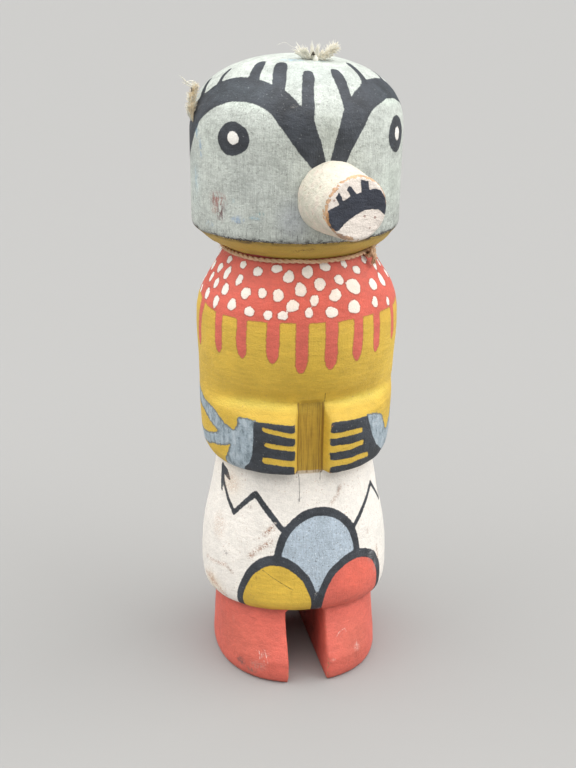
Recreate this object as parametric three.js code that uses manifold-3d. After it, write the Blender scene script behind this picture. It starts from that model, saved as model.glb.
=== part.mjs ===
// A small carved wooden doll: a round body cut from one block, with a helmet-like head, folded arms,
// a flaring kilt and two boots. A peg snout, a twine round the neck and two feather remnants are
// pieces of their own. Millimetres, +Z up. The doll faces -Y and its right hand is at -X.

import * as THREE from 'three';
import { mergeVertices } from 'three/addons/utils/BufferGeometryUtils.js';
import Module from 'manifold-3d';

const wasm = await Module();
wasm.setup();

// ---------------------------------------------------------------- driving dimensions

const HEIGHT = 180;                // sole to crown
const HEAD_HALF_WIDTH = 29.4;
const HEAD_HALF_DEPTH = 28.4;
const HEM_HEIGHT = 21.2;           // underside of the kilt at the sides and back
const WAIST_HEIGHT = 65.4;         // where the kilt meets the elbows
const LEDGE_HEIGHT = 87.6;         // where the forearms' top face meets the chest
const NECK_HEIGHT = 128.0;         // middle of the groove that the twine lies in
const RIM_HEIGHT = 134.2;          // lower edge of the head
const DOME_START = 161;            // above this the head's wall turns in to the crown
const DOME_POWER = 2.22;           // roundness of that turn: 2 is an ellipse, more is squarer

const NECK_HALF_WIDTH = 20.5;
const NECK_HALF_DEPTH = 20.1;

// The block was carved by eye, so the body's middle stands a little to the left of the head's.
const BOOT_SHIFT = 0.5;
const KILT_SHIFT = 0.5;
const ARM_SHIFT = 0.6;
const CHEST_SHIFT = 0.7;

const GAP_LEFT = -6.4;             // inner faces of the two boots
const GAP_RIGHT = 5.0;
const GAP_TOP_FRONT = 22.3;
const GAP_TOP_BACK = 20.4;

const NOTCH_DEPTH = 21.7;          // from the doll's axis forward to the back wall between the hands
const NOTCH_BACK_HALF = 3.1;
const NOTCH_FRONT_HALF = 5.1;
const HAND_DEPTH = 27.1;           // from the axis forward to the face of the hands

const CLEARANCE = 0.3;             // gap left between touching pieces

const SIDES = 60;                  // facets round the body

// ---------------------------------------------------------------- solids from geometry

function toSolid(geometry) {
  geometry.deleteAttribute('normal');
  geometry.deleteAttribute('uv');
  const merged = mergeVertices(geometry, 1e-4);
  const mesh = new wasm.Mesh({
    numProp: 3,
    vertProperties: new Float32Array(merged.attributes.position.array),
    triVerts: new Uint32Array(merged.index.array),
  });
  return new wasm.Manifold(mesh);
}

function toGeometry(solid) {
  const mesh = solid.getMesh();
  const geometry = new THREE.BufferGeometry();
  geometry.setAttribute('position', new THREE.BufferAttribute(mesh.vertProperties, 3));
  geometry.setIndex(new THREE.BufferAttribute(mesh.triVerts, 1));
  geometry.computeVertexNormals();
  return geometry;
}

// ---------------------------------------------------------------- the body as a stack of rings

// A profile gives the outline at the side, front and back as [radius, height] points. Each one is
// drawn as a smooth curve, and the rings between them are ovals that pass through all three.
function profileRings({ side, front, back, steps, power = 2, tilt = 0, shift = 0 }) {
  const curves = [side, front, back].map(
    (points) => new THREE.SplineCurve(points.map(([r, z]) => new THREE.Vector2(r, z))));
  const rings = [];
  for (let i = 0; i <= steps; i += 1) {
    const [s, f, b] = curves.map((curve) => curve.getPoint(i / steps));
    rings.push({ side: s, front: f, back: b, power, tilt, shift });
  }
  return rings;
}

// The crown is a quarter superellipse, sampled by angle so that the rings are evenly spread.
function domeRings(steps) {
  const rings = [];
  for (let i = 1; i < steps; i += 1) {
    const angle = (i / steps) * Math.PI / 2;
    const reach = Math.cos(angle) ** (2 / DOME_POWER);
    const z = DOME_START + (HEIGHT - DOME_START) * Math.sin(angle) ** (2 / DOME_POWER);
    const side = new THREE.Vector2(HEAD_HALF_WIDTH * reach, z);
    const front = new THREE.Vector2(HEAD_HALF_DEPTH * reach, z);
    rings.push({ side, front, back: front, power: 2, tilt: 0, shift: 0 });
  }
  return rings;
}

// angle runs from 0 at the front (-Y) towards the doll's left hand (+X)
function ringPoint(ring, angle, grow) {
  const across = Math.sign(Math.sin(angle)) * Math.abs(Math.sin(angle)) ** (2 / ring.power);
  const ahead = Math.sign(Math.cos(angle)) * Math.abs(Math.cos(angle)) ** (2 / ring.power);
  const facing = Math.cos(angle) > 0 ? ring.front : ring.back;
  const x = across * (ring.side.x + grow);
  const y = -ahead * (facing.x + grow);
  const turn = Math.cos(angle) ** 2;
  const z = ring.side.y + (facing.y - ring.side.y) * turn + ring.tilt * across;
  return new THREE.Vector3(x + ring.shift, y, z);
}

function loft(rings, grow, bottom, top) {
  const points = [];
  rings.forEach((ring) => {
    for (let i = 0; i < SIDES; i += 1) {
      points.push(ringPoint(ring, (i / SIDES) * Math.PI * 2, grow));
    }
  });
  const bottomIndex = points.push(new THREE.Vector3(0, 0, bottom - grow)) - 1;
  const topIndex = points.push(new THREE.Vector3(0, 0, top + grow)) - 1;
  const faces = [];
  const last = (rings.length - 1) * SIDES;
  for (let i = 0; i < SIDES; i += 1) {
    const next = (i + 1) % SIDES;
    faces.push(bottomIndex, next, i);
    faces.push(topIndex, last + i, last + next);
    for (let r = 0; r < rings.length - 1; r += 1) {
      const low = r * SIDES;
      const high = low + SIDES;
      faces.push(low + i, low + next, high + next);
      faces.push(low + i, high + next, high + i);
    }
  }
  const geometry = new THREE.BufferGeometry().setFromPoints(points);
  geometry.setIndex(faces);
  return toSolid(geometry);
}

// ---------------------------------------------------------------- figure: profiles from the soles up

const boots = profileRings({
  side: [[24.3, 0], [24.9, 1.2], [24.7, 6], [24.3, 12], [23.9, HEM_HEIGHT]],
  front: [[27.2, 0], [28.2, 2], [28.6, 7.4], [25.6, 14], [22.0, HEM_HEIGHT + 1.8]],
  back: [[24.0, 0], [24.7, 1.2], [24.5, 6], [24.1, 12], [23.5, HEM_HEIGHT]],
  steps: 6,
  power: 2.2,
  shift: BOOT_SHIFT,
});

const kilt = profileRings({
  side: [[25.6, HEM_HEIGHT - 0.2], [27.2, 22.5], [28.3, 26.4], [28.3, 35], [27.1, 45],
    [25.0, 55], [23.0, WAIST_HEIGHT]],
  front: [[23.8, HEM_HEIGHT + 1.6], [25.4, 24.2], [26.5, 27.6], [26.4, 36.5], [25.3, 46.5],
    [23.5, 56.5], [21.6, 67.2]],
  back: [[24.4, HEM_HEIGHT - 0.2], [26.0, 22.5], [27.0, 26.4], [27.0, 35], [25.8, 45],
    [23.8, 55], [21.9, WAIST_HEIGHT]],
  steps: 11,
  tilt: -0.8,
  shift: KILT_SHIFT,
});

// The forearms stand out as a band: crisp under the hands, rounded under the elbows and at the back.
const forearms = profileRings({
  side: [[24.8, 66.1], [26.6, 68.0], [27.7, 71.2], [28.1, 76], [28.3, 81], [28.4, 85.2]],
  front: [[26.0, 67.4], [26.7, 67.7], [27.0, 69.2], [HAND_DEPTH, 74], [HAND_DEPTH, 78.5], [HAND_DEPTH, 82.8]],
  back: [[23.7, 66.1], [25.5, 68.0], [26.5, 71.2], [26.9, 76], [27.1, 81], [27.2, 85.2]],
  steps: 6,
  tilt: -0.4,
  shift: ARM_SHIFT,
});

// The top face of the forearms slopes in to the chest at the front and dies out towards the elbows.
const ledge = profileRings({
  side: [[28.4, 86.2], [28.4, 88.2]],
  front: [[25.2, 85.0], [22.8, LEDGE_HEIGHT]],
  back: [[27.2, 86.2], [27.3, 88.2]],
  steps: 1,
  shift: ARM_SHIFT,
});

const chest = profileRings({
  side: [[28.5, 90.5], [28.7, 96], [29.0, 103], [28.9, 110], [27.5, 116], [24.3, 121.4],
    [NECK_HALF_WIDTH, NECK_HEIGHT - 0.6]],
  front: [[23.6, 90], [25.6, 93.8], [27.2, 100], [27.4, 109], [26.2, 116], [23.9, 121.6],
    [NECK_HALF_DEPTH, NECK_HEIGHT - 0.6]],
  back: [[27.4, 90.5], [27.6, 96], [27.8, 103], [27.6, 110], [26.4, 116], [24.0, 121.4],
    [NECK_HALF_DEPTH, NECK_HEIGHT - 0.6]],
  steps: 10,
  shift: CHEST_SHIFT,
});

const head = profileRings({
  side: [[28.6, RIM_HEIGHT], [29.1, RIM_HEIGHT + 1.4], [29.2, 146], [HEAD_HALF_WIDTH, DOME_START]],
  front: [[27.6, RIM_HEIGHT], [28.1, RIM_HEIGHT + 1.4], [28.2, 146], [HEAD_HALF_DEPTH, DOME_START]],
  back: [[27.6, RIM_HEIGHT], [28.1, RIM_HEIGHT + 1.4], [28.2, 146], [HEAD_HALF_DEPTH, DOME_START]],
  steps: 6,
});

// The throat is the groove between the shoulders and the head's slanting underside.
const throat = profileRings({
  side: [[NECK_HALF_WIDTH, NECK_HEIGHT + 0.6], [25.4, 131]],
  front: [[NECK_HALF_DEPTH, NECK_HEIGHT + 0.6], [24.4, 131]],
  back: [[NECK_HALF_DEPTH, NECK_HEIGHT + 0.6], [24.4, 131]],
  steps: 1,
  shift: CHEST_SHIFT,
});

const bodyRings = [...boots, ...kilt, ...forearms, ...ledge, ...chest, ...throat, ...head, ...domeRings(10)];

function body(grow) {
  return loft(bodyRings, grow, 0, HEIGHT);
}

// ---------------------------------------------------------------- figure: cuts

function prism(outline, depth) {
  const shape = new THREE.Shape(outline.map(([u, v]) => new THREE.Vector2(u, v)));
  return new THREE.ExtrudeGeometry(shape, { depth, bevelEnabled: false });
}

// The legs are parted by one straight saw cut from front to back.
function legGap() {
  const reach = 40;
  const slope = (GAP_TOP_FRONT - GAP_TOP_BACK) / (2 * reach);
  const middle = (GAP_TOP_FRONT + GAP_TOP_BACK) / 2;
  const outline = [[-reach, -5], [reach, -5], [reach, middle - slope * reach], [-reach, middle + slope * reach]];
  const geometry = prism(outline, GAP_RIGHT - GAP_LEFT);
  geometry.rotateX(Math.PI / 2);
  geometry.rotateZ(Math.PI / 2);
  geometry.translate(GAP_LEFT, 0, 0);
  return toSolid(geometry);
}

// The hands don't meet: a notch with flaring walls parts them, back to the line of the chest.
function handNotch() {
  const flare = (NOTCH_FRONT_HALF - NOTCH_BACK_HALF) / (HAND_DEPTH - NOTCH_DEPTH);
  const reach = HAND_DEPTH + 4;
  const frontHalf = NOTCH_FRONT_HALF + flare * (reach - HAND_DEPTH);
  const outline = [[-frontHalf, -reach], [frontHalf, -reach],
    [NOTCH_BACK_HALF, -NOTCH_DEPTH], [-NOTCH_BACK_HALF, -NOTCH_DEPTH]];
  const bottom = 67;
  const geometry = prism(outline, LEDGE_HEIGHT + 0.9 - bottom);
  geometry.translate(0, 0, bottom);
  return toSolid(geometry);
}

const figure = body(0).subtract(legGap()).subtract(handNotch());
const figureWithClearance = body(CLEARANCE);

// ---------------------------------------------------------------- pieces set on the figure

// Turns geometry built along +Y so that it runs from a point in a direction.
function aim(geometry, from, direction) {
  const turn = new THREE.Quaternion().setFromUnitVectors(new THREE.Vector3(0, 1, 0), direction.clone().normalize());
  geometry.applyQuaternion(turn);
  geometry.translate(from.x, from.y, from.z);
  return geometry;
}

// angle from the front towards the doll's left, on the head's wall
function onHead(degrees, z) {
  const angle = THREE.MathUtils.degToRad(degrees);
  return new THREE.Vector3(HEAD_HALF_WIDTH * Math.sin(angle), -HEAD_HALF_DEPTH * Math.cos(angle), z);
}

function heading(degrees, rise) {
  const angle = THREE.MathUtils.degToRad(degrees);
  const climb = THREE.MathUtils.degToRad(rise);
  return new THREE.Vector3(Math.sin(angle) * Math.cos(climb), -Math.cos(angle) * Math.cos(climb), Math.sin(climb));
}

const SNOUT_BASE_RADIUS = 9.1;
const SNOUT_END_RADIUS = 8.2;
const SNOUT_LENGTH = 15.6;
const SNOUT_ROOT = 5;              // buried length, cut away again to the curve of the head
const SNOUT_EDGE = 0.5;            // worn edge of the end face

function snout() {
  const taper = (SNOUT_BASE_RADIUS - SNOUT_END_RADIUS) / SNOUT_LENGTH;
  const outline = [
    new THREE.Vector2(0, -SNOUT_ROOT),
    new THREE.Vector2(SNOUT_BASE_RADIUS + taper * SNOUT_ROOT, -SNOUT_ROOT),
    new THREE.Vector2(SNOUT_END_RADIUS, SNOUT_LENGTH - SNOUT_EDGE),
    new THREE.Vector2(SNOUT_END_RADIUS - SNOUT_EDGE, SNOUT_LENGTH),
    new THREE.Vector2(0, SNOUT_LENGTH),
  ];
  const peg = aim(new THREE.LatheGeometry(outline, 48), onHead(7.4, 146.2), heading(8.5, 2));
  return toSolid(peg).subtract(figureWithClearance);
}

// A spindle swells from a thin foot and closes to a thin tip: a tuft of barbs or a twine's tail.
function spindle(from, to, radius, blunt = 0.35) {
  const along = new THREE.Vector3().subVectors(to, from);
  const length = along.length();
  const outline = [
    new THREE.Vector2(0, 0),
    new THREE.Vector2(radius * 0.5, length * 0.06),
    new THREE.Vector2(radius * 0.9, length * 0.28),
    new THREE.Vector2(radius, length * 0.6),
    new THREE.Vector2(radius * (0.5 + blunt), length * 0.85),
    new THREE.Vector2(0, length),
  ];
  return toSolid(aim(new THREE.LatheGeometry(outline, 10), from, along));
}

const TWINE_RADIUS = 0.62;
const KNOT_ANGLE = 50;             // from the front towards the doll's left
const KNOT_RADIUS = 1.5;

function neckString() {
  const halfWidth = NECK_HALF_WIDTH + CLEARANCE + TWINE_RADIUS;
  const halfDepth = NECK_HALF_DEPTH + CLEARANCE + TWINE_RADIUS;
  const loop = new THREE.TorusGeometry(1, TWINE_RADIUS / halfWidth, 8, 60);
  loop.scale(halfWidth, halfDepth, halfWidth);
  loop.translate(CHEST_SHIFT, 0, NECK_HEIGHT - 0.05);
  const angle = THREE.MathUtils.degToRad(KNOT_ANGLE);
  const out = heading(KNOT_ANGLE, 0);
  const seat = new THREE.Vector3(
    CHEST_SHIFT + halfWidth * Math.sin(angle), -halfDepth * Math.cos(angle), NECK_HEIGHT);
  const knotCentre = seat.clone().addScaledVector(out, KNOT_RADIUS * 0.7);
  const knot = new THREE.SphereGeometry(KNOT_RADIUS, 12, 8).translate(knotCentre.x, knotCentre.y, knotCentre.z);
  const side = new THREE.Vector3(Math.cos(angle), Math.sin(angle), 0);
  const foot = knotCentre.clone().addScaledVector(out, 0.3);
  const firstTip = foot.clone().addScaledVector(out, 1.7).addScaledVector(side, -1.4).setZ(NECK_HEIGHT - 4.4);
  const secondTip = foot.clone().addScaledVector(out, 1.4).addScaledVector(side, 2.0).setZ(NECK_HEIGHT + 3.0);
  return toSolid(loop)
    .add(toSolid(knot))
    .add(spindle(foot, firstTip, 0.95))
    .add(spindle(foot, secondTip, 0.8))
    .subtract(figureWithClearance);
}

function crownFeather() {
  const foot = new THREE.Vector3(3.4, -9.0, HEIGHT - 2.6);
  const tufts = [
    [new THREE.Vector3(-1.2, -8.6, HEIGHT + 1.8), 1.8],
    [new THREE.Vector3(1.8, -9.0, HEIGHT + 2.8), 1.8],
    [new THREE.Vector3(9.8, -7.6, HEIGHT + 3.4), 1.8],
  ];
  return tufts
    .map(([tip, radius]) => spindle(foot, tip, radius))
    .reduce((all, tuft) => all.add(tuft))
    .subtract(figureWithClearance);
}

const EAR_ANGLE = -83;            // from the front; the doll's right is negative

function earFeather() {
  const out = heading(EAR_ANGLE, 0);
  const foot = onHead(EAR_ANGLE, 163.6);
  const top = foot.clone().addScaledVector(out, -1.2).setZ(172.2);
  const bend = foot.clone().addScaledVector(out, -0.6).setZ(169.6);
  const wisp = foot.clone().addScaledVector(out, 2.5).setZ(174.8);
  return spindle(foot, top, 1.9)
    .add(spindle(bend, wisp, 0.9))
    .subtract(figureWithClearance);
}

// ---------------------------------------------------------------- the doll

const finish = (color, roughness) => new THREE.MeshStandardMaterial({ color, roughness, metalness: 0 });

const pieces = [
  ['figure', figure, finish('#c9a23a', 0.75)],
  ['snout', snout(), finish('#dcd8c8', 0.75)],
  ['neck_string', neckString(), finish('#b79a72', 0.95)],
  ['crown_feather', crownFeather(), finish('#e2d9bd', 0.95)],
  ['ear_feather', earFeather(), finish('#c9b48a', 0.95)],
];

const doll = new THREE.Group();
pieces.forEach(([name, solid, material]) => {
  const mesh = new THREE.Mesh(toGeometry(solid), material);
  mesh.name = name;
  doll.add(mesh);
});

// The origin is the middle of the bottom of the whole doll's box.
const box = new THREE.Box3().setFromObject(doll);
doll.position.set(-(box.min.x + box.max.x) / 2, -(box.min.y + box.max.y) / 2, -box.min.z);

export default doll;
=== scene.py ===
"""Looks for a small carved and painted wooden doll with a peg snout, neck twine and two feather tufts.

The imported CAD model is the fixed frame. Each CAD node is stood for by a finer piece of the same form.
Lengths are in millimetres and are turned into metres where a mesh, light or camera is made.
Angles round the doll run from 0 at the front (-Y) towards its left hand (+X), in degrees.
"""

import itertools
import math

import bmesh
import bpy
import numpy as np
from mathutils import Matrix, Vector
from mathutils.bvhtree import BVHTree


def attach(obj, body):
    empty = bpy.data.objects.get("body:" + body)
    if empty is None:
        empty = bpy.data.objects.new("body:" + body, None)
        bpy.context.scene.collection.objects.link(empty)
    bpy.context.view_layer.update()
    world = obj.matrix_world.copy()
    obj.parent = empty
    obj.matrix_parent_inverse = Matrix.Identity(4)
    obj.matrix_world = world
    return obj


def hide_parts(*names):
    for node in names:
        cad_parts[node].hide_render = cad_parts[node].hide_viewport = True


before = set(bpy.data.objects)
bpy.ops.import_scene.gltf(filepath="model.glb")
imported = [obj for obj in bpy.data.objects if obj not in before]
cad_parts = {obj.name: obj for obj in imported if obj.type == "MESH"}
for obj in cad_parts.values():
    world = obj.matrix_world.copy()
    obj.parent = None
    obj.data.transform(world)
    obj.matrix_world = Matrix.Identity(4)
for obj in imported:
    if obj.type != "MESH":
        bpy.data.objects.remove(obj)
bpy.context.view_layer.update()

MM = 0.001
FAR = 9.0                      # a paint edge further off than this isn't measured


def vertices_of(mesh):
    co = np.empty(len(mesh.vertices) * 3)
    mesh.vertices.foreach_get("co", co)
    return co.reshape(-1, 3) / MM


def head_axis():
    """The crown of the CAD figure is its highest vertex, and it stands on the head's axis."""
    co = vertices_of(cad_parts["figure"].data)
    top = co[co[:, 2].argmax()]
    return np.array([top[0], top[1], 0.0])


AXIS = head_axis()


def unit(vector):
    return vector / np.linalg.norm(vector, axis=-1, keepdims=True)


def facing(angle, rise=0.0):
    """The unit vector that points out from the axis at an angle round the doll."""
    turn = math.radians(angle)
    lift = math.radians(rise)
    return np.array([math.sin(turn) * math.cos(lift), -math.cos(turn) * math.cos(lift), math.sin(lift)])


def step(low, high, value):
    t = np.clip((value - low) / (high - low), 0, 1)
    return t * t * (3 - 2 * t)


# ---------------------------------------------------------------- noise

LATTICE_SIZE = 32
LATTICE = np.random.default_rng(11).random((LATTICE_SIZE,) * 3) * 2 - 1


def noise(points, wavelength, seed=0):
    """Smooth noise between -1 and 1 that changes over the given distance."""
    place = points / wavelength + seed * 7.31
    cell = np.floor(place).astype(int)
    t = place - cell
    t = t * t * (3 - 2 * t)
    total = np.zeros(len(points))
    for corner in itertools.product((0, 1), repeat=3):
        weight = np.prod(np.where(corner, t, 1 - t), axis=1)
        i, j, k = ((cell + corner) % LATTICE_SIZE).T
        total += weight * LATTICE[i, j, k]
    return total


def wobbled(points, wavelength, amount):
    """The points moved a little each way, so that edges drawn through them waver like a hand's."""
    moves = [noise(points, wavelength, seed) for seed in (1, 2, 3)]
    return points + amount * np.stack(moves, axis=1)


# ---------------------------------------------------------------- meshes

def add_object(name, mesh):
    thing = bpy.data.objects.new(name, mesh)
    bpy.context.scene.collection.objects.link(thing)
    return thing


def fine_mesh(node, voxel):
    """A fine, even mesh of a CAD node's form. The node's own mesh is left as it is."""
    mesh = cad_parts[node].data.copy()
    form = bmesh.new()
    form.from_mesh(mesh)
    bmesh.ops.remove_doubles(form, verts=form.verts, dist=0.001 * MM)
    form.to_mesh(mesh)
    form.free()
    work = add_object(node + "_work", mesh)
    remesh = work.modifiers.new("remesh", "REMESH")
    remesh.mode = "VOXEL"
    remesh.voxel_size = voxel * MM
    shape = work.evaluated_get(bpy.context.evaluated_depsgraph_get())
    fine = bpy.data.meshes.new_from_object(shape)
    bpy.data.objects.remove(work)
    fine.materials.clear()
    return fine


class Net:
    """A mesh's vertices in millimetres from the head's axis, with what is needed to smooth them."""

    def __init__(self, mesh):
        self.mesh = mesh
        self.points = vertices_of(mesh) - AXIS
        ends = np.empty(len(mesh.edges) * 2, dtype=np.int64)
        mesh.edges.foreach_get("vertices", ends)
        self.ends = ends.reshape(-1, 2)
        self.valence = np.bincount(ends, minlength=len(self.points))

    def spread(self, values):
        """The mean of each vertex's neighbours."""
        a, b = self.ends.T
        count = len(values)
        columns = values.T if values.ndim == 2 else [values]
        sums = [np.bincount(a, column[b], minlength=count) + np.bincount(b, column[a], minlength=count)
                for column in columns]
        total = np.stack(sums, axis=-1).reshape(values.shape)
        return total / (self.valence[:, None] if values.ndim == 2 else self.valence)

    def relax(self, rounds):
        """Smooths out voxel steps and facets without shrinking the form."""
        for _ in range(rounds):
            for pull in (0.5, -0.53):
                self.points += pull * (self.spread(self.points) - self.points)

    def soften(self, values, rounds):
        for _ in range(rounds):
            values = self.spread(values)
        return values

    def normals(self):
        self.store()
        normals = np.empty(len(self.points) * 3)
        self.mesh.vertex_normals.foreach_get("vector", normals)
        return normals.reshape(-1, 3)

    def store(self):
        self.mesh.vertices.foreach_set("co", ((self.points + AXIS) * MM).ravel())
        self.mesh.update()

    def add_channel(self, name, values):
        layer = self.mesh.attributes.new(name, "FLOAT", "POINT")
        layer.data.foreach_set("value", values.astype(np.float32))

    def add_tint(self, name, colours):
        layer = self.mesh.attributes.new(name, "FLOAT_COLOR", "POINT")
        layer.data.foreach_set("color", colours.astype(np.float32).ravel())

    def tree(self):
        faces = [tuple(face.vertices) for face in self.mesh.polygons]
        return BVHTree.FromPolygons([tuple(p) for p in self.points], faces)

    def shade_smooth(self):
        self.mesh.polygons.foreach_set("use_smooth", np.ones(len(self.mesh.polygons), dtype=bool))


# ---------------------------------------------------------------- painted shapes

# Every painted shape is a number at each vertex: how many millimetres the vertex is inside the edge.

def either(*shapes):
    return np.maximum.reduce(shapes)


def both(*shapes):
    return np.minimum.reduce(shapes)


def curved(places, between=5):
    """A smooth curve through given points."""
    p = np.array(places, dtype=float)
    p = np.vstack([2 * p[0] - p[1], p, 2 * p[-1] - p[-2]])
    out = []
    for a, b, c, d in zip(p, p[1:], p[2:], p[3:]):
        for t in np.arange(between) / between:
            out.append(0.5 * (2 * b + (c - a) * t + (2 * a - 5 * b + 4 * c - d) * t * t
                              + (3 * b - 3 * c + d - a) * t ** 3))
    out.append(p[-2])
    return np.array(out)


def inside(across, up, outline):
    """How far inside a closed outline each point is, in the units of across and up."""
    depth = np.full(len(across), -FAR)
    low = outline.min(axis=0) - FAR
    high = outline.max(axis=0) + FAR
    near = (across > low[0]) & (across < high[0]) & (up > low[1]) & (up < high[1])
    x = across[near]
    y = up[near]
    distance = np.full(len(x), FAR)
    within = np.zeros(len(x), dtype=bool)
    for (ax, ay), (bx, by) in zip(outline, np.roll(outline, -1, axis=0)):
        ex, ey = bx - ax, by - ay
        length = ex * ex + ey * ey
        if length < 1e-9:
            continue
        t = np.clip(((x - ax) * ex + (y - ay) * ey) / length, 0, 1)
        distance = np.minimum(distance, np.hypot(x - ax - t * ex, y - ay - t * ey))
        crosses = (ay > y) != (by > y)
        if by != ay:
            within ^= crosses & (x < ex * (y - ay) / (by - ay) + ax)
    depth[near] = np.where(within, distance, -distance)
    return depth


class Canvas:
    """The painted surface of the figure, with places given as an angle and a height."""

    SPAN = 27.5                # usual distance of the surface from the axis
    LINE_REACH = 1.3               # how far off a crack or scratch is still measured
    CLEAR = 60                 # well outside the surface

    def __init__(self, net):
        self.bare = net.points
        self.points = wobbled(net.points, 3.6, 0.2)
        x, y, self.up = self.points.T
        self.angle = np.degrees(np.arctan2(x, -y))
        self.front = np.maximum(np.cos(np.radians(self.angle)), 0)
        self.across = np.radians(self.angle) * self.SPAN
        self.tree = net.tree()

    def spot(self, angle, height):
        """The point of the outer surface at an angle and a height."""
        out = facing(angle)
        hit, normal, _, _ = self.tree.ray_cast(Vector(out * self.CLEAR + [0, 0, height]), Vector(-out))
        if hit is None:
            raise ValueError(f"no surface at {angle} degrees, {height} mm")
        return np.array(hit), np.array(normal) * np.sign(np.dot(normal, out))

    def area(self, *edges):
        """A patch inside one or more edges, each a list of [angle, height] places."""
        outline = np.vstack(edges)
        return inside(self.across, self.up, outline * [math.radians(1) * self.SPAN, 1])

    def trail(self, places, spacing=2.0):
        """Points of the surface along straight runs between places, close enough to follow its curve."""
        ends = [self.spot(*place)[0] for place in places]
        out = [ends[0]]
        for start, end in zip(ends, ends[1:]):
            count = max(1, math.ceil(np.linalg.norm(end - start) / spacing))
            for i in range(1, count + 1):
                near, _, _, _ = self.tree.find_nearest(Vector(start + (end - start) * i / count))
                out.append(np.array(near))
        return np.array(out)

    def stroke(self, places, widths):
        """A brush stroke along places. The widths are spread evenly along it."""
        route = self.trail(places)
        radii = np.interp(np.linspace(0, 1, len(route)), np.linspace(0, 1, len(widths)), widths) / 2
        depth = np.full(len(self.points), -FAR)
        for a, b, ra, rb in zip(route, route[1:], radii, radii[1:]):
            run = b - a
            near = np.abs(self.points - a).max(axis=1) < FAR + np.linalg.norm(run)
            p = self.points[near] - a
            t = np.clip(p @ run / (run @ run), 0, 1)
            away = np.linalg.norm(p - t[:, None] * run, axis=1)
            depth[near] = np.maximum(depth[near], ra + (rb - ra) * t - away)
        return depth

    def offset(self, places):
        """The signed distance to the side of a line, told only close to it and between its ends."""
        route = self.trail(places, 1.0)
        side = np.full(len(self.points), FAR)
        for a, b in zip(route, route[1:]):
            run = b - a
            p = self.points - a
            t = p @ run / (run @ run)
            away = np.linalg.norm(p - np.clip(t, 0, 1)[:, None] * run, axis=1)
            sign = np.sign(p @ np.cross(a * [1, 1, 0], run))
            near = (away < self.LINE_REACH) & (away < np.abs(side)) & (t > -0.15) & (t < 1.15)
            side = np.where(near, sign * away, side)
        return side

    def dab(self, place, width, height, ragged=0.0, seed=0):
        """One touch of a loaded brush: an oval with a ragged edge."""
        centre, normal = self.spot(*place)
        east = unit(np.cross([0, 0, 1.0], normal))
        north = np.cross(normal, east)
        near = np.abs(self.points - centre).max(axis=1) < FAR
        p = self.points[near] - centre
        u = p @ east * 2 / width
        v = p @ north * 2 / height
        turn = np.arctan2(v, u)
        rng = np.random.default_rng(seed)
        rim = 1 + sum(ragged / k * np.sin(k * turn + rng.uniform(0, 6.3)) for k in (2, 3, 5))
        lift = np.abs(p @ normal)
        depth = np.full(len(self.points), -FAR)
        depth[near] = (rim - np.hypot(u, v)) * min(width, height) / 2 - np.maximum(lift - 2, 0)
        return depth

    def arch(self, centre, base, half_width, height):
        """A round-topped cloud: an ellipse about a point, in degrees across and millimetres up."""
        u = (self.angle - centre) / half_width
        v = (self.up - base) / height
        size = (math.radians(half_width) * self.SPAN + height) / 2
        return (1 - np.hypot(u, v)) * size


# ---------------------------------------------------------------- the figure's paint

HEM = 21.5                     # where the kilt's white ends and the boots' red begins
WAIST = 66.1                   # underside of the forearms
RIM = 134.5                    # lower edge of the head
STRING = 128.0
CAPE_HEM = 112.6
OUTLINE = 2.6                  # width of the black lines round the clouds
OUTLINE_IN = 0.2               # they lie this much inside the clouds' edges
CLOUD_TOP = 60                 # no cloud reaches this high
THROAT_SHADE = (0.76, 0.80, 1.2)   # painted shade: the paint is darkened under the head's rim

# Left and right are as the viewer sees them from the front.
BROW_LEFT_UNDER = [(-104, 149), (-95, 152.3), (-86.8, 156), (-78, 160.9), (-72.5, 164.2),
                   (-65.5, 166.9), (-58, 168.8), (-50, 169.7), (-41.5, 169.9), (-33.5, 169.4),
                   (-26.3, 167.6), (-21.5, 165.2), (-16.7, 162.1), (-10.5, 158.2), (-3, 153.2)]
BROW_LEFT_OVER = [(4, 154.6), (2.9, 156.8), (0.5, 161.2), (-1.5, 163.6), (-3.6, 166.4), (-9.1, 169.2),
                  (-14.7, 171.5), (-21.5, 173.1), (-29.1, 174.1), (-39.5, 174.9), (-51.3, 175.2),
                  (-62.4, 174.9), (-71, 173.8), (-77.5, 171.4), (-86, 168), (-95, 162.5), (-104, 154.5)]
BROW_RIGHT_UNDER = [(11.5, 152.5), (14.5, 154.9), (17.6, 158), (23.4, 162.6), (31.4, 167),
                    (40.5, 168.9), (51.2, 169.8), (64, 169.2), (74, 166.6), (83, 162), (92, 156),
                    (102, 150)]
BROW_RIGHT_OVER = [(102, 155), (92, 164.4), (80, 171.3), (70, 173.8), (60, 174.5), (45.2, 174.5),
                   (37.8, 174.1), (26.2, 172.4), (20.4, 170.8), (15.2, 168.8), (13.1, 167.2),
                   (10.1, 163.8), (7.9, 159.9), (5.9, 156.1), (5, 153.5)]
# Strokes that stand up from the brows on to the crown: where they start and end, and their widths there.
CROWN_STROKES = [
    ((-76, 167.5), (-96, 173.4), (2.4, 2.0)),
    ((-70, 172.5), (-84, 176.4), (2.8, 1.3)),
    ((-42.5, 173.5), (-56.6, 178.4), (3.4, 3.0)),
    ((-23.5, 172), (-30.4, 178.4), (2.8, 3.5)),
    ((-6.7, 165), (-3.0, 176.8), (3.0, 3.2)),
    ((17.3, 169.1), (22.7, 176.9), (2.4, 3.1)),
    ((39, 173), (57.4, 178.0), (3.0, 1.9)),
    ((67, 173), (84.2, 175.4), (2.8, 1.6)),
    ((90, 166.5), (95, 172.5), (2.4, 1.5)),
]

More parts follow.
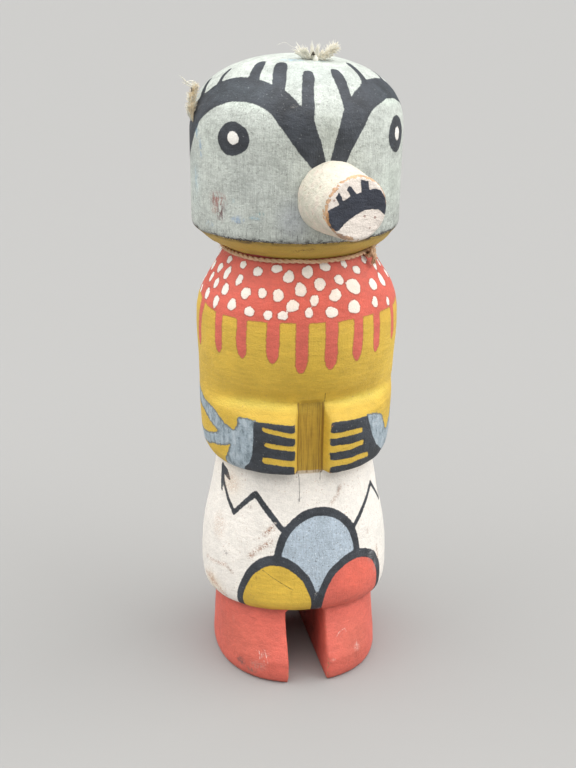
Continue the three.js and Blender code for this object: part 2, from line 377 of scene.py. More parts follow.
# White dots on the cape: angle, height, width and length.
CAPE_DOTS = [
    (-72, 125.7, 2.4, 2.2), (-54, 125.6, 2.2, 2.3), (-40, 124.6, 2.7, 2.7), (-26, 125.7, 2.8, 2.3),
    (-16.5, 124.1, 3.1, 3.4), (-3, 125.2, 3.2, 3.4), (10.5, 126.2, 3.0, 2.6), (26.5, 126.4, 1.9, 2.2),
    (36, 124.4, 2.7, 2.7), (49, 126, 2.6, 2.2), (60, 123.6, 2.2, 2.5), (73, 123.2, 2.0, 2.6),
    (-79, 123.0, 2.5, 3.2), (-66.5, 122.6, 2.6, 3.6), (-52.5, 121.9, 2.3, 2.9), (-84, 120.0, 2.3, 2.9),
    (-8.5, 121.0, 3.3, 3.9), (4.5, 122.2, 3.3, 3.4), (18.5, 122.8, 2.8, 2.9), (28, 120.6, 4.4, 4.5),
    (46, 119.8, 3.4, 3.7), (59, 119.9, 3.0, 4.0), (76, 119.8, 2.3, 3.2), (-73, 119.3, 2.3, 3.0),
    (-61.5, 118.9, 2.4, 3.6), (-44.5, 119.2, 2.7, 3.4), (-33, 119.7, 2.6, 2.7), (-22.5, 119.4, 3.0, 3.2),
    (0, 118.4, 2.5, 2.9), (13.5, 119.2, 3.4, 3.3), (-78.5, 116.0, 2.3, 3.4), (-66, 115.1, 2.5, 3.6),
    (-52.5, 115.7, 2.8, 3.5), (-39.5, 114.8, 2.9, 2.6), (-28, 114.4, 2.6, 2.4), (-19, 114.5, 2.7, 2.6),
    (-13.5, 117.0, 3.3, 3.4), (-3.5, 115.2, 2.3, 2.7), (10, 115.1, 3.4, 3.1), (25, 115.6, 4.0, 3.6),
    (42, 115.5, 2.9, 2.9), (56, 114.2, 1.7, 2.4),
]

# Drips of the cape's fringe: angle at the top, angle at the tip, height of the tip and width.
FRINGE = [
    (-80, -84, 101.2, 2.6), (-61, -61, 102.0, 2.7), (-44, -43.5, 102.0, 3.0), (-24.5, -24.5, 101.6, 3.4),
    (-7.5, -8, 99.0, 3.3), (10, 9, 99.8, 3.4), (27.5, 26, 101.0, 3.0), (42, 41, 102.0, 2.6),
    (60, 59.5, 103.2, 2.2), (77, 76, 102.4, 2.4),
]
HIDDEN_FRINGE_STEP = 17
HIDDEN_FRINGE_START = 94
HIDDEN_FRINGE_COUNT = 10

HAND_LEFT = [(-36.5, 83.3), (-36.3, 77), (-37.5, 72.8), (-40, 69.9), (-44, 68.2), (-44, 65.5),
             (-10.9, 65.5), (-10.9, 83.1)]
HAND_RIGHT = [(10.6, 83.1), (37.2, 82.9), (39.5, 79.7), (42.3, 76), (47, 72.4), (58, 68.6), (58, 65.5),
              (10.6, 65.5)]
FINGER_GAPS = [
    [(-31.3, 81.8), (-9, 80.5), (-9, 79.0), (-30.8, 80.5)],
    [(-29.9, 77.5), (-9, 76.5), (-9, 75.1), (-29.3, 76.2)],
    [(-30.6, 72.9), (-9, 72.3), (-9, 70.5), (-31.0, 71.1)],
    [(9, 80.1), (32.8, 79.7), (33.1, 78.2), (9, 78.5)],
    [(9, 76.2), (34.2, 75.8), (34.7, 74.3), (9, 74.1)],
    [(9, 71.8), (38.4, 71.4), (39.8, 70.0), (9, 69.7)],
]

SLEEVE_LEFT = [(-34, 83.7), (-46.5, 83.7), (-47.2, 81.4), (-50, 79.8), (-55, 80.2), (-60, 81.5),
               (-68, 83.8), (-78, 84.6), (-88, 86.4), (-99, 87), (-100, 83), (-88, 81.6), (-80, 80.8),
               (-71, 78.8), (-63.5, 77), (-73, 75.4), (-85, 74.6), (-100, 74.4), (-100, 69.6),
               (-86, 70.4), (-76, 71.2), (-67.5, 72.6), (-58, 73.4), (-53, 74.6), (-55.5, 71.7),
               (-59, 68.4), (-59, 65.5), (-34, 65.5)]
SLEEVE_RIGHT = [(36, 83.3), (49, 82), (55, 78.2), (60, 75), (64, 77), (71, 80.8), (78, 84.4),
                (89, 86.2), (99, 86.6), (100, 81), (88, 79.4), (78, 75.6), (86, 74.2), (100, 74),
                (100, 69), (86, 69.4), (74, 67.6), (64, 65.5), (36, 65.5)]
CLOUD_BLUE = dict(centre=6, base=41, half_width=27.6, height=13.9)
CLOUD_YELLOW = dict(centre=-22, base=22, half_width=25.6, height=18.5)
CLOUD_RED = dict(centre=31.6, base=25.4, half_width=26.2, height=14.1)

LIGHTNING = [
    ([(-19, 49.9), (-39.6, 59.1), (-55.7, 52.1), (-71.5, 59.4), (-76, 63.2)], [1.6, 1.9, 1.5, 1.2, 1.7]),
    ([(-76.6, 63.4), (-70, 62.2), (-64.4, 60.9)], [1.6, 2.3, 0.8]),
    ([(-76.6, 63.4), (-74, 60), (-71.8, 56.3)], [1.5, 1.6, 0.8]),
    ([(30.5, 47.2), (58.5, 57.4), (72, 49.6), (92, 61.5)], [1.5, 1.3, 1.1, 1.3]),
    ([(93, 63.6), (87, 61.6), (82, 60.4)], [1.4, 1.9, 0.8]),
    ([(93, 63.6), (92, 60), (91, 56.5)], [1.4, 1.4, 0.8]),
]

CRACKS = [
    [(-7.9, 66.4), (-7.3, 62), (-7.0, 57.6)],
    [(8.5, 66.7), (8.1, 63.8)],
    [(9.2, 87.6), (9.2, 89.6), (9.0, 91.5)],
    [(-31, 36.9), (-24, 34.9), (-10.5, 31)],
]

# Fine pale scratches on the boots.
SCRATCHES = [
    [(-33.2, 9.8), (-31.6, 7.4)], [(-29, 10.4), (-25.9, 6.4)], [(-30.4, 6.4), (-28.4, 5.2)],
    [(18.5, 13), (21.4, 14.1), (26.2, 14.8)], [(26.2, 14.8), (26.9, 13.5)], [(34, 10.4), (33.2, 7.2)],
]


NOTCH_HALF_WIDTH = 3.6         # the notch between the hands, which runs up from the waist
NOTCH_FRONT = -10              # nothing behind this is in it


def notch_back_shade(points):
    """How far inside the wall at the back of the notch between the hands a vertex is; painted shade darkens
    that wall.
    """
    x, y, z = points.T
    return both(NOTCH_HALF_WIDTH - np.abs(x), 22.9 + y, NOTCH_FRONT - y, z - 66, 87.8 - z)


def shade_between_boots(points):
    """From 0 to 1, how deep in the gap between the boots a vertex is, where painted shade darkens it."""
    x, y, z = points.T
    return step(8.5, 6.5, np.abs(x)) * step(-19, -9, y) * step(HEM + 1.5, HEM - 2, z)


def notch_corner_shade(points):
    """How far inside the shadowed line down each side of that wall a vertex is."""
    x, y, z = points.T
    return both(0.32 - np.abs(np.abs(x) - 3.55), 23.4 + y, NOTCH_FRONT - y, z - 66, 88.2 - z)


def cape_edge(canvas):
    """Height of the cape's lower edge, which rises a little at the sides and behind."""
    return CAPE_HEM + 2.2 * step(62, 92, np.abs(canvas.angle))


def drip(canvas, top, low, end, width):
    """A stroke down from the cape's edge that ends in a blunt point."""
    return canvas.stroke([(top, CAPE_HEM + 2.5), (low, end + 2), (low, end)],
                         [width] * 7 + [width * 0.84, width * 0.44])


def paint_fringe(canvas):
    drips = [drip(canvas, top, low, end, width) for top, low, end, width in FRINGE]
    rng = np.random.default_rng(4)
    for i in range(HIDDEN_FRINGE_COUNT):
        angle = HIDDEN_FRINGE_START + i * HIDDEN_FRINGE_STEP + rng.uniform(-2, 2)
        end = 101.5 + rng.uniform(-1.6, 1.6)
        width = 2.9 + rng.uniform(-0.4, 0.4)
        drips.append(drip(canvas, angle, angle, end, width))
    return either(*drips)


def hidden_dots():
    """Rows of dots round the back of the cape, in the spirit of the front."""
    rng = np.random.default_rng(8)
    for row, height in enumerate((125.2, 121.6, 118.2, 115.6)):
        for angle in np.arange(90 + 7 * (row % 2), 268, 14):
            size = rng.uniform(2.2, 3.4)
            place = angle + rng.uniform(-3, 3), height + rng.uniform(-0.7, 0.7)
            yield *place, size, size * rng.uniform(0.95, 1.35)


def paint_dots(canvas):
    dots = itertools.chain(CAPE_DOTS, hidden_dots())
    return either(*[canvas.dab((angle, height), width, length, ragged=0.13, seed=i)
                    for i, (angle, height, width, length) in enumerate(dots)])


def crown_stroke(canvas, low, high, widths):
    """A stroke of a loaded brush up the crown, with a rounded end."""
    start, end = widths
    return canvas.stroke([low, high], [start, (start + end) / 2] + [end] * 6 + [end * 0.8])


def paint_kilt(c, above_hem, kilt):
    """The three clouds on the front of the kilt, the black lines round them and the lightning."""
    blue = c.arch(**CLOUD_BLUE)
    yellow = c.arch(**CLOUD_YELLOW)
    red = c.arch(**CLOUD_RED)
    lines = either(
        OUTLINE / 2 - np.abs(yellow - OUTLINE_IN),
        OUTLINE / 2 - np.abs(red - OUTLINE_IN),
        both(OUTLINE / 2 - np.abs(blue - OUTLINE_IN), -yellow, -red),
    )
    cloudy = np.where((c.up < CLOUD_TOP) & (c.front > 0), FAR, -FAR)
    at_front = c.front * 20 - 1
    lightning = either(*[c.stroke(places, widths) for places, widths in LIGHTNING])
    return dict(
        yellow=both(yellow, kilt, at_front),
        red=both(red, -yellow, kilt, at_front),
        blue=both(blue, -yellow, -red, kilt, at_front),
        black=either(both(lines, above_hem, cloudy), both(lightning, -blue, kilt)),
    )


def paint_hands(c, above_waist):
    """The black hands with gaps between their fingers, and the pale sleeves above them."""
    gaps = either(*[c.area(np.array(gap)) for gap in FINGER_GAPS])
    hands = either(c.area(np.array(HAND_LEFT)), c.area(np.array(HAND_RIGHT)))
    sleeve = either(c.area(curved(SLEEVE_LEFT, 3)), c.area(curved(SLEEVE_RIGHT, 3)))
    return both(hands, -gaps, above_waist), both(sleeve, -0.6 - gaps, above_waist)


def paint_face(c):
    """The brows with the strokes above them and the black of the eyes, and then the pupils."""
    black = either(
        c.area(curved(BROW_LEFT_UNDER), curved(BROW_LEFT_OVER)),
        c.area(curved(BROW_RIGHT_UNDER), curved(BROW_RIGHT_OVER)),
        *[crown_stroke(c, *stroke) for stroke in CROWN_STROKES],
        c.dab((-46.5, 160.8), 9.5, 8.8, 0.05, seed=3),
        c.dab((54.3, 160.6), 9.0, 9.4, 0.03, seed=5),
    )
    pupils = either(
        c.dab((-46.2, 161.0), 3.4, 3.4, 0.06, seed=6),
        c.dab((54.8, 160.6), 3.0, 3.5, 0.05, seed=7),
    )
    return black, pupils


def paint_figure(net):
    """Works out every paint layer of the figure and stores it on the mesh."""
    c = Canvas(net)
    above_hem = c.up - (HEM + 1.2 * c.front ** 2)
    above_waist = c.up - (WAIST + 1.0 * c.front ** 2)
    kilt = both(above_hem, -above_waist)
    on_kilt = paint_kilt(c, above_hem, kilt)
    hands, sleeve = paint_hands(c, above_waist)
    face, pupils = paint_face(c)
    cape = both(c.up - cape_edge(c), STRING + 0.4 - c.up)
    layers = dict(
        yellow=either(both(above_waist, RIM - c.up), on_kilt["yellow"]),
        red=either(
            -above_hem,
            cape,
            paint_fringe(c),
            c.stroke([(-62, 128.6), (-40, 128.8), (-20, 128.5)], [0.5, 0.9, 0.3]),
            c.stroke([(-44, 22.0), (-20, 22.5), (0, 22.6)], [0.2, 0.8, 0.5]),
            on_kilt["red"],
        ),
        blue=on_kilt["blue"],
        sleeve=sleeve,
        grey=c.up - RIM,
        black=either(face, hands, on_kilt["black"]),
        white=either(both(paint_dots(c), cape + 0.3), pupils),
    )
    for name, layer in layers.items():
        net.add_channel(name, np.clip(layer, -FAR, FAR))
    return c, layers


# Marks on the paint: place, size across, size up, colour and strength.
# Stains are blotchy and scuffs are streaky.
STAINS = [
    ((-57.5, 144.4), 8.5, 5.6, (146, 88, 78), 0.85),
    ((-55.5, 141.4), 4.4, 7.4, (100, 62, 62), 0.85),
    ((-60.5, 141.6), 3.4, 3.0, (156, 108, 92), 0.75),
    ((-30.8, 141.9), 2.6, 1.5, (60, 146, 152), 0.9),
    ((-34, 140.8), 4.5, 1.6, (120, 170, 190), 0.6),
    ((-46.6, 144.8), 1.2, 1.2, (120, 164, 176), 0.7),
    ((-44, 139.8), 5.5, 2.6, (140, 168, 202), 0.7),
    ((-64.7, 137.2), 5, 2.4, (150, 180, 202), 0.5),
    ((-76, 161), 3, 5, (120, 164, 192), 0.6),
    ((-72.3, 156.6), 2.2, 8, (108, 150, 190), 0.65),
    ((-79, 148), 3.5, 10, (140, 176, 196), 0.5),
    ((-85.4, 142.6), 1.2, 2.4, (34, 34, 40), 0.85),
    ((56.5, 138.2), 1.0, 1.6, (50, 52, 56), 0.8),
    ((63.5, 138.1), 1.0, 1.2, (50, 52, 56), 0.7),
    ((-20, 179.2), 9, 3.4, (150, 190, 214), 0.5),
    ((26, 179), 8, 3, (160, 200, 214), 0.45),
    ((-34.5, 34.2), 2.2, 1.6, (112, 78, 34), 0.8),
    ((-39, 31.4), 1.8, 1.2, (150, 112, 50), 0.6),
    ((-7.1, 58.3), 0.9, 1.6, (74, 60, 54), 0.85),
    ((22.5, 60.2), 1.4, 3.0, (150, 134, 124), 0.6),
    ((-46.4, 4.3), 4.6, 3.2, (96, 78, 76), 0.85),
    ((-37.4, 2.9), 5.2, 2.4, (128, 108, 96), 0.8),
    ((-73, 27.6), 7, 5.5, (196, 164, 136), 0.6),
]
SCUFFS = [
    ((-58.2, 39), 2.8, 1.5, (136, 124, 120), 0.75),
    ((-42.6, 55), 2.2, 0.8, (176, 150, 136), 0.6),
    ((45, 44.6), 1.4, 2.6, (176, 140, 116), 0.6),
    ((-62, 60), 9, 8, (206, 176, 152), 0.5),
    ((-68, 46), 9, 12, (212, 186, 166), 0.5),
    ((46.4, 36.6), 5, 5, (150, 152, 154), 0.7),
    ((51, 32), 2, 6, (176, 176, 174), 0.6),
    ((3.3, 29.6), 0.8, 1.8, (226, 224, 218), 0.9),
    ((7, 23.6), 0.8, 1.6, (226, 224, 218), 0.8),
    ((-2.2, 35.8), 0.9, 1.0, (226, 224, 218), 0.8),
    ((-24, 51.6), 1.0, 1.3, (232, 222, 212), 1.0),
    ((-13.6, 169.4), 2.8, 1.1, (130, 126, 120), 0.8),
    ((-30.5, 8.8), 2.0, 1.8, (226, 180, 168), 0.7),
    ((-27, 9.2), 1.8, 1.4, (226, 180, 168), 0.7),
    ((-33, 5), 7.5, 4.5, (186, 140, 128), 0.6),
    ((33, 8), 3.8, 3.4, (220, 176, 164), 0.6),
    ((13.8, 7.2), 2.4, 1.2, (238, 190, 178), 0.6),
    ((-58.4, 15.7), 1.1, 1.1, (240, 180, 166), 0.6),
]

# Longer scuffs: the places they run through, their width, colour and strength.
LONG_SCUFFS = [
    ([(-40, 40.2), (-35.7, 42.4), (-31.5, 44), (-26.2, 45.9)], 2.0, (150, 100, 68), 0.95),
    ([(-30.6, 48), (-25.6, 50.3)], 1.9, (160, 110, 78), 0.95),
    ([(-80, 33.6), (-70.5, 34), (-62.8, 34.8), (-57.5, 35.2)], 1.3, (176, 128, 96), 0.8),
    ([(-58, 35.2), (-54.4, 34.2), (-52, 33.6)], 0.9, (150, 112, 88), 0.9),
    ([(15.9, 56.6), (21.6, 58.8), (24.4, 61)], 1.3, (178, 146, 124), 0.7),
    ([(54, 38), (55.6, 33.6)], 1.2, (164, 122, 92), 0.8),
    ([(-12.2, 131.7), (-7.3, 132.2), (-1.6, 132.6)], 1.2, (104, 78, 32), 0.8),
    ([(-82, 27.4), (-70, 27), (-60, 24.6)], 2.4, (186, 136, 104), 0.8),
    ([(-74, 24), (-60, 23.2), (-44, 22.2)], 1.3, (150, 96, 84), 0.85),
]

# Broad changes of the paint's tone: place, size across, size up and what it is multiplied by.
# Many are painted light: painted shade on the cheek, under the snout, between the brows and on the crown,
# and painted highlights on both sides of the head, the tops of the brows, the torso's right side
# and the tops of the forearms. The rest are broad changes of the paint's tone.
TONES_AND_PAINTED_LIGHT = [
    # Painted shade across the cheek and under the snout.
    ((-34, 148), 30, 26, (0.90, 0.90, 0.91)),
    ((-13, 141), 14, 17, (0.80, 0.80, 0.88)),
    # Painted highlights on the face's left side and on the tops of the brows.
    ((-66, 160), 18, 20, (1.07, 1.08, 1.07)),
    ((-50, 172), 34, 12, (1.22, 1.28, 1.24)),
    ((60, 171), 26, 10, (1.12, 1.18, 1.14)),
    # Painted shade between the brows and on the crown.
    ((5, 164), 14, 14, (0.84, 0.84, 0.82)),
    ((0, 177), 46, 22, (0.90, 0.92, 0.93)),
    # Painted highlights on both sides of the head.
    ((-82, 148), 14, 26, (1.04, 1.08, 1.10)),
    ((52, 147), 24, 22, (1.06, 1.08, 1.06)),
    # A broad change of the paint's tone on the chest.
    ((0, 95), 26, 24, (0.98, 0.97, 0.82)),
    # Painted highlight on the torso's right side.
    ((62, 96), 24, 26, (1.10, 1.13, 1.12)),
    # Painted highlights along the tops of the forearms.
    ((-36, 87.5), 40, 5, (1.18, 1.36, 1.8)),
    ((36, 87.5), 40, 5, (1.18, 1.36, 1.8)),
    # Broad changes of the paint's tone.
    ((0, 119), 100, 22, (1.05, 0.93, 0.86)),
    ((70, 44), 24, 40, (0.94, 0.96, 0.96)),
    ((32, 10), 24, 24, (0.88, 0.97, 0.92)),
    ((-62, 60), 16, 14, (0.96, 0.93, 0.89)),
    ((-72, 26), 16, 12, (0.98, 0.92, 0.84)),
    ((-20, 30), 26, 20, (1.16, 1.15, 1.2)),
    ((36, 32), 26, 20, (1.17, 1.12, 1.05)),
    ((-50, 10), 40, 26, (0.90, 0.97, 0.92)),
]


def near_mark(canvas, place, width, length):
    """How near each vertex is to the middle of an oval mark: 0 there and 1 at its rim or beyond."""
    centre, normal = canvas.spot(*place)
    east = unit(np.cross([0, 0, 1.0], normal))
    p = canvas.points - centre
    across = p @ east * 2 / width
    up = p @ np.cross(normal, east) * 2 / length
    through = (p @ normal) / max(4, width / 3)
    return np.minimum(np.sqrt(across * across + up * up + through * through), 1)


def soft_marks(canvas, marks, long_marks=()):
    """The colour and strength of the marks at each vertex."""
    weights = [(colour, strength * (1 - step(0.35, 1.0, near_mark(canvas, place, width, length))))
               for place, width, length, colour, strength in marks]
    weights += [(colour, strength * step(-0.3, width / 2, canvas.stroke(places, [width, width])))
                for places, width, colour, strength in long_marks]
    tint = np.zeros((len(canvas.points), 4))
    for colour, weight in weights:
        stronger = weight > tint[:, 3]
        tint[stronger, :3] = linear(*colour)
        tint[stronger, 3] = weight[stronger]
    return tint


def tones_and_painted_light(canvas):
    tone = np.ones((len(canvas.points), 4))
    for place, width, length, factor in TONES_AND_PAINTED_LIGHT:
        weight = 1 - step(0.1, 1.0, near_mark(canvas, place, width, length))
        tone[:, :3] *= 1 + weight[:, None] * (np.array(factor) - 1)
    # Painted shade on the neck, under the head's rim.
    throat_shade = step(STRING - 0.5, STRING + 1, canvas.up) * (1 - step(RIM - 0.4, RIM, canvas.up))
    tone[:, :3] *= 1 + throat_shade[:, None] * (np.array(THROAT_SHADE) - 1)
    return tone


def linear(r, g, b):
    """A colour as seen on screen, from 0 to 255, as the shader's linear values."""
    def one(value):
        value /= 255
        return value / 12.92 if value <= 0.04045 else ((value + 0.055) / 1.055) ** 2.4
    return (one(r), one(g), one(b))


# ---------------------------------------------------------------- materials

class Shader:
    """One procedural material. Its methods add nodes and give back their output."""

    def __init__(self, name, roughness, specular=0.3):
        self.material = bpy.data.materials.new(name)
        self.material.use_nodes = True
        self.tree = self.material.node_tree
        self.surface = self.tree.nodes["Principled BSDF"]
        self.surface.inputs["Roughness"].default_value = roughness
        self.surface.inputs["Specular IOR Level"].default_value = specular
        self.place = self.tree.nodes.new("ShaderNodeTexCoord").outputs["Object"]

    def put(self, socket, value):
        if isinstance(value, bpy.types.NodeSocket):
            self.tree.links.new(value, socket)
        elif isinstance(value, tuple) and len(value) == 3 and socket.type == "RGBA":
            socket.default_value = (*value, 1)
        else:
            socket.default_value = value

    def math(self, operation, a, b=0.0, clamp=False):
        node = self.tree.nodes.new("ShaderNodeMath")
        node.operation = operation
        node.use_clamp = clamp
        self.put(node.inputs[0], a)
        self.put(node.inputs[1], b)
        return node.outputs[0]

    def times(self, a, b):
        return self.math("MULTIPLY", a, b)

    def step(self, value, low, high, to_low=0.0, to_high=1.0):
        """Rises smoothly from one level to another as the value goes from low to high."""
        node = self.tree.nodes.new("ShaderNodeMapRange")
        node.interpolation_type = "SMOOTHSTEP"
        for socket, number in zip(node.inputs, (value, low, high, to_low, to_high)):
            self.put(socket, number)
        return node.outputs[0]

    def blend(self, amount, a, b):
        node = self.tree.nodes.new("ShaderNodeMix")
        node.data_type = "RGBA"
        self.put(node.inputs["Factor"], amount)
        self.put(node.inputs[6], a)
        self.put(node.inputs[7], b)
        return node.outputs[2]

    def brighten(self, colour, factor):
        """The colour times a factor that may vary over the surface."""
        node = self.tree.nodes.new("ShaderNodeVectorMath")
        node.operation = "SCALE"
        if isinstance(colour, tuple):
            node.inputs[0].default_value = colour
        else:
            self.put(node.inputs[0], colour)
        self.put(node.inputs["Scale"], factor)
        return node.outputs[0]

    def multiply(self, a, b):
        node = self.tree.nodes.new("ShaderNodeVectorMath")
        node.operation = "MULTIPLY"
        self.put(node.inputs[0], a)
        self.put(node.inputs[1], b)
        return node.outputs[0]

    def noise(self, size, stretch=(1, 1, 1), detail=2.0, roughness=0.5, seed=0.0):
        """Noise whose marks are about size millimetres across, longer where stretch is more."""
        mapping = self.tree.nodes.new("ShaderNodeMapping")
        self.put(mapping.inputs["Vector"], self.place)
        mapping.inputs["Location"].default_value = (seed, seed * 0.7, seed * 1.3)
        mapping.inputs["Scale"].default_value = tuple(1 / s for s in stretch)
        node = self.tree.nodes.new("ShaderNodeTexNoise")
        self.put(node.inputs["Vector"], mapping.outputs[0])
        node.inputs["Scale"].default_value = 1 / (size * MM)
        node.inputs["Detail"].default_value = detail
        node.inputs["Roughness"].default_value = roughness
        return node.outputs["Fac"]

    def channel(self, name):
        node = self.tree.nodes.new("ShaderNodeAttribute")
        node.attribute_name = name
        return node.outputs["Fac"]

    def tint(self, name):
        node = self.tree.nodes.new("ShaderNodeAttribute")
        node.attribute_name = name
        return node.outputs["Color"], node.outputs["Alpha"]

    def colour(self, value):
        self.put(self.surface.inputs["Base Color"], value)

    def relief(self, height):
        """Bump from a height in millimetres."""
        node = self.tree.nodes.new("ShaderNodeBump")
        node.inputs["Distance"].default_value = MM
        self.put(node.inputs["Height"], height)
        self.put(self.surface.inputs["Normal"], node.outputs[0])


WOOD = linear(176, 128, 84)
# Dark brown for dirty places, for painted shade in hollows and between the boots, and for cracks.
GRIME_AND_SHADE = linear(52, 40, 32)
DUST = linear(168, 170, 170)
DIM_SPECK = linear(96, 94, 88)
BROWN_SPECK = linear(178, 136, 106)
OLD_LINE = linear(38, 36, 38)
SCRATCHED = linear(240, 224, 214)
EDGE_TONE = linear(140, 58, 44)
EDGE_SHADES = dict(red=0.6, white=0.55)  # how strongly a coat's edge is darkened round it
ROUGH_EDGE = dict(sleeve=1.3, red=0.6, white=0.75)   # where a coat's edge is more broken than usual


class PaintedWood(Shader):
    """Hand-brushed matte paint over carved wood, with the marks that its uneven coats share."""

    def __init__(self, name):
        super().__init__(name, roughness=0.6, specular=0.5)
        self.streaks = self.marks(0.34, stretch=(1, 1, 13), detail=4, roughness=0.65)
        self.sweeps = self.marks(0.8, stretch=(9, 9, 1), detail=3, roughness=0.5, seed=8)
        self.dabs = self.marks(1.5, stretch=(1.5, 1.5, 0.8), detail=3, roughness=0.6, seed=3)
        self.clouds = self.marks(7, detail=4, roughness=0.55, seed=5)
        self.grit = self.marks(0.42, detail=2, roughness=0.6, seed=12)
        self.ragged = self.noise(0.8, detail=2, roughness=0.65, seed=17)

    def marks(self, size, **shape):
        """Noise with its contrast raised to fill 0 to 1."""
        return self.step(self.noise(size, **shape), 0.33, 0.67)

    def sum(self, *parts):
        total = parts[0]
        for part in parts[1:]:
            total = self.math("ADD", total, part)
        return total

    def about(self, source, strength):
        """A mark's swing to each side of nothing."""
        return self.times(self.math("SUBTRACT", source, 0.5), strength)

    def vary(self, colour, *parts):
        """A colour made lighter and darker by marks, each with its strength."""
        swings = [self.about(source, strength) for source, strength in parts]
        return self.brighten(colour, self.sum(1.0, *swings))

    def cover(self, name, rough=0.5, soft=0.13):
        """Where a coat lies, with the ragged edge of a dry brush."""
        return self.step(self.sum(self.channel(name), self.about(self.ragged, rough)), -soft, soft)

    def speckle(self, coat, where, colour, size, seed, rarity=0.66, strength=0.7):
        specks = self.step(self.noise(size, detail=1, seed=seed), rarity, rarity + 0.06)
        return self.blend(self.times(self.times(specks, where), strength), coat, colour)

    def marked(self, coat, name, size, stretch, low, high, seed):
        """Lays the soft marks of a colour attribute over the coat, broken up by noise."""
        colour, strength = self.tint(name)
        broken = self.step(self.noise(size, stretch=stretch, detail=3, roughness=0.7, seed=seed), low, high)
        return self.blend(self.times(strength, broken), coat, colour)


def sleeve_coat(s):
    """Thin pale blue in separate strokes, with dark and yellow showing between them."""
    strokes = s.marks(1.7, stretch=(1, 1, 2.4), detail=4, roughness=0.72, seed=47)
    thick = s.vary(linear(158, 172, 181), (s.dabs, 0.16), (s.streaks, 0.1), (s.grit, 0.14))
    coat = s.blend(s.step(strokes, 0.55, 1.0, 0.0, 0.7), thick, linear(100, 114, 120))
    coat = s.blend(s.step(strokes, 0.42, 0.0, 0.0, 0.65), coat, linear(192, 202, 208))
    border = s.sum(s.channel("sleeve"), s.about(s.ragged, 1.5))
    return s.blend(s.step(border, 0.1, 0.8, 0.8, 0.0), coat, linear(88, 92, 84))


def rim_chips(s):
    """The dark, chipped line along the head's lower edge, with streaks that run up from it."""
    height = s.channel("over_rim")
    wander = s.about(s.ragged, 2.0)
    line = s.step(s.math("ABSOLUTE", s.sum(height, -0.05, wander)), 0.06, 0.4, 0.9, 0.0)
    line = s.times(line, s.step(s.clouds, 0.0, 0.5, 0.35, 1.0))
    broken = s.noise(1.3, stretch=(1.8, 1.8, 1), detail=3, roughness=0.7, seed=26)
    chips = s.times(s.step(broken, 0.55, 0.62), s.step(height, 0.2, 1.7, 0.85, 0.0))
    runs = s.times(s.step(s.streaks, 0.62, 0.9), s.step(height, 0.6, 8.0, 0.5, 0.0))
    above = s.times(s.math("MAXIMUM", chips, runs), s.step(height, -0.3, 0.1))
    return s.math("MAXIMUM", line, above)


# Each coat's colour, and how strongly each kind of mark varies it. The ground is under the others.
COATS = dict(
    ground=((240, 234, 225), dict(clouds=0.09, dabs=0.07, streaks=0.06, grit=0.08)),
    yellow=((214, 177, 64), dict(clouds=0.12, sweeps=0.07, dabs=0.05, grit=0.06)),
    red=((214, 101, 85), dict(clouds=0.14, dabs=0.1, streaks=0.03, grit=0.08)),
    blue=((172, 185, 196), dict(clouds=0.14, dabs=0.12, streaks=0.2, grit=0.2)),
    grey=((190, 195, 187), dict(clouds=0.2, dabs=0.2, streaks=0.24, grit=0.16)),
    black=((54, 58, 64), dict(clouds=0.6, dabs=0.3, grit=0.2)),
    white=((246, 242, 234), dict(clouds=0.05, grit=0.08)),
)
PALE_SPECK = linear(226, 230, 224)
PALE_BLUE_SPECK = linear(226, 232, 236)
COAT_ORDER = ("yellow", "red", "blue", "sleeve", "grey", "black", "white")


def brushed(s, name):
    colour, marks = COATS[name]
    return s.vary(linear(*colour), *[(getattr(s, mark), strength) for mark, strength in marks.items()])


def brushed_coats(s):
    """Every coat as it was brushed on, with the specks that show in it."""
    coats = {name: brushed(s, name) for name in COATS}
    coats["sleeve"] = sleeve_coat(s)
    for name, where, colour, size, seed, rarity, strength in [
        ("ground", s.step(s.clouds, 0.3, 0.7), BROWN_SPECK, 0.6, 31, 0.66, 0.5),
        ("yellow", s.step(s.clouds, 0.8, 0.2), WOOD, 0.5, 33, 0.69, 0.6),
        ("grey", 1.0, PALE_SPECK, 0.5, 35, 0.66, 0.55),
        ("grey", 1.0, DIM_SPECK, 0.55, 37, 0.65, 0.4),
        ("blue", 1.0, PALE_BLUE_SPECK, 0.5, 39, 0.66, 0.6),
        ("blue", 1.0, DIM_SPECK, 0.6, 41, 0.66, 0.6),
        ("black", 1.0, DUST, 0.5, 43, 0.7, 0.35),
    ]:
        coats[name] = s.speckle(coats[name], where, colour, size, seed, rarity, strength)
    return coats


def lay_coats(s, masks):
    """The coats one over another, with the darkened edge that some of them have."""
    coats = brushed_coats(s)
    coat = coats["ground"]
    for name in COAT_ORDER:
        if name in EDGE_SHADES:
            rim = s.sum(s.channel(name), s.about(s.ragged, ROUGH_EDGE.get(name, 0.5)))
            shade = s.step(rim, -0.36, -0.08, 0.0, EDGE_SHADES[name])
            if name == "white":  # the dots on the cape have such an edge and the pupils don't
                shade = s.times(shade, masks["red"])
            coat = s.blend(shade, coat, EDGE_TONE)
        coat = s.blend(masks[name], coat, coats[name])
    return coat


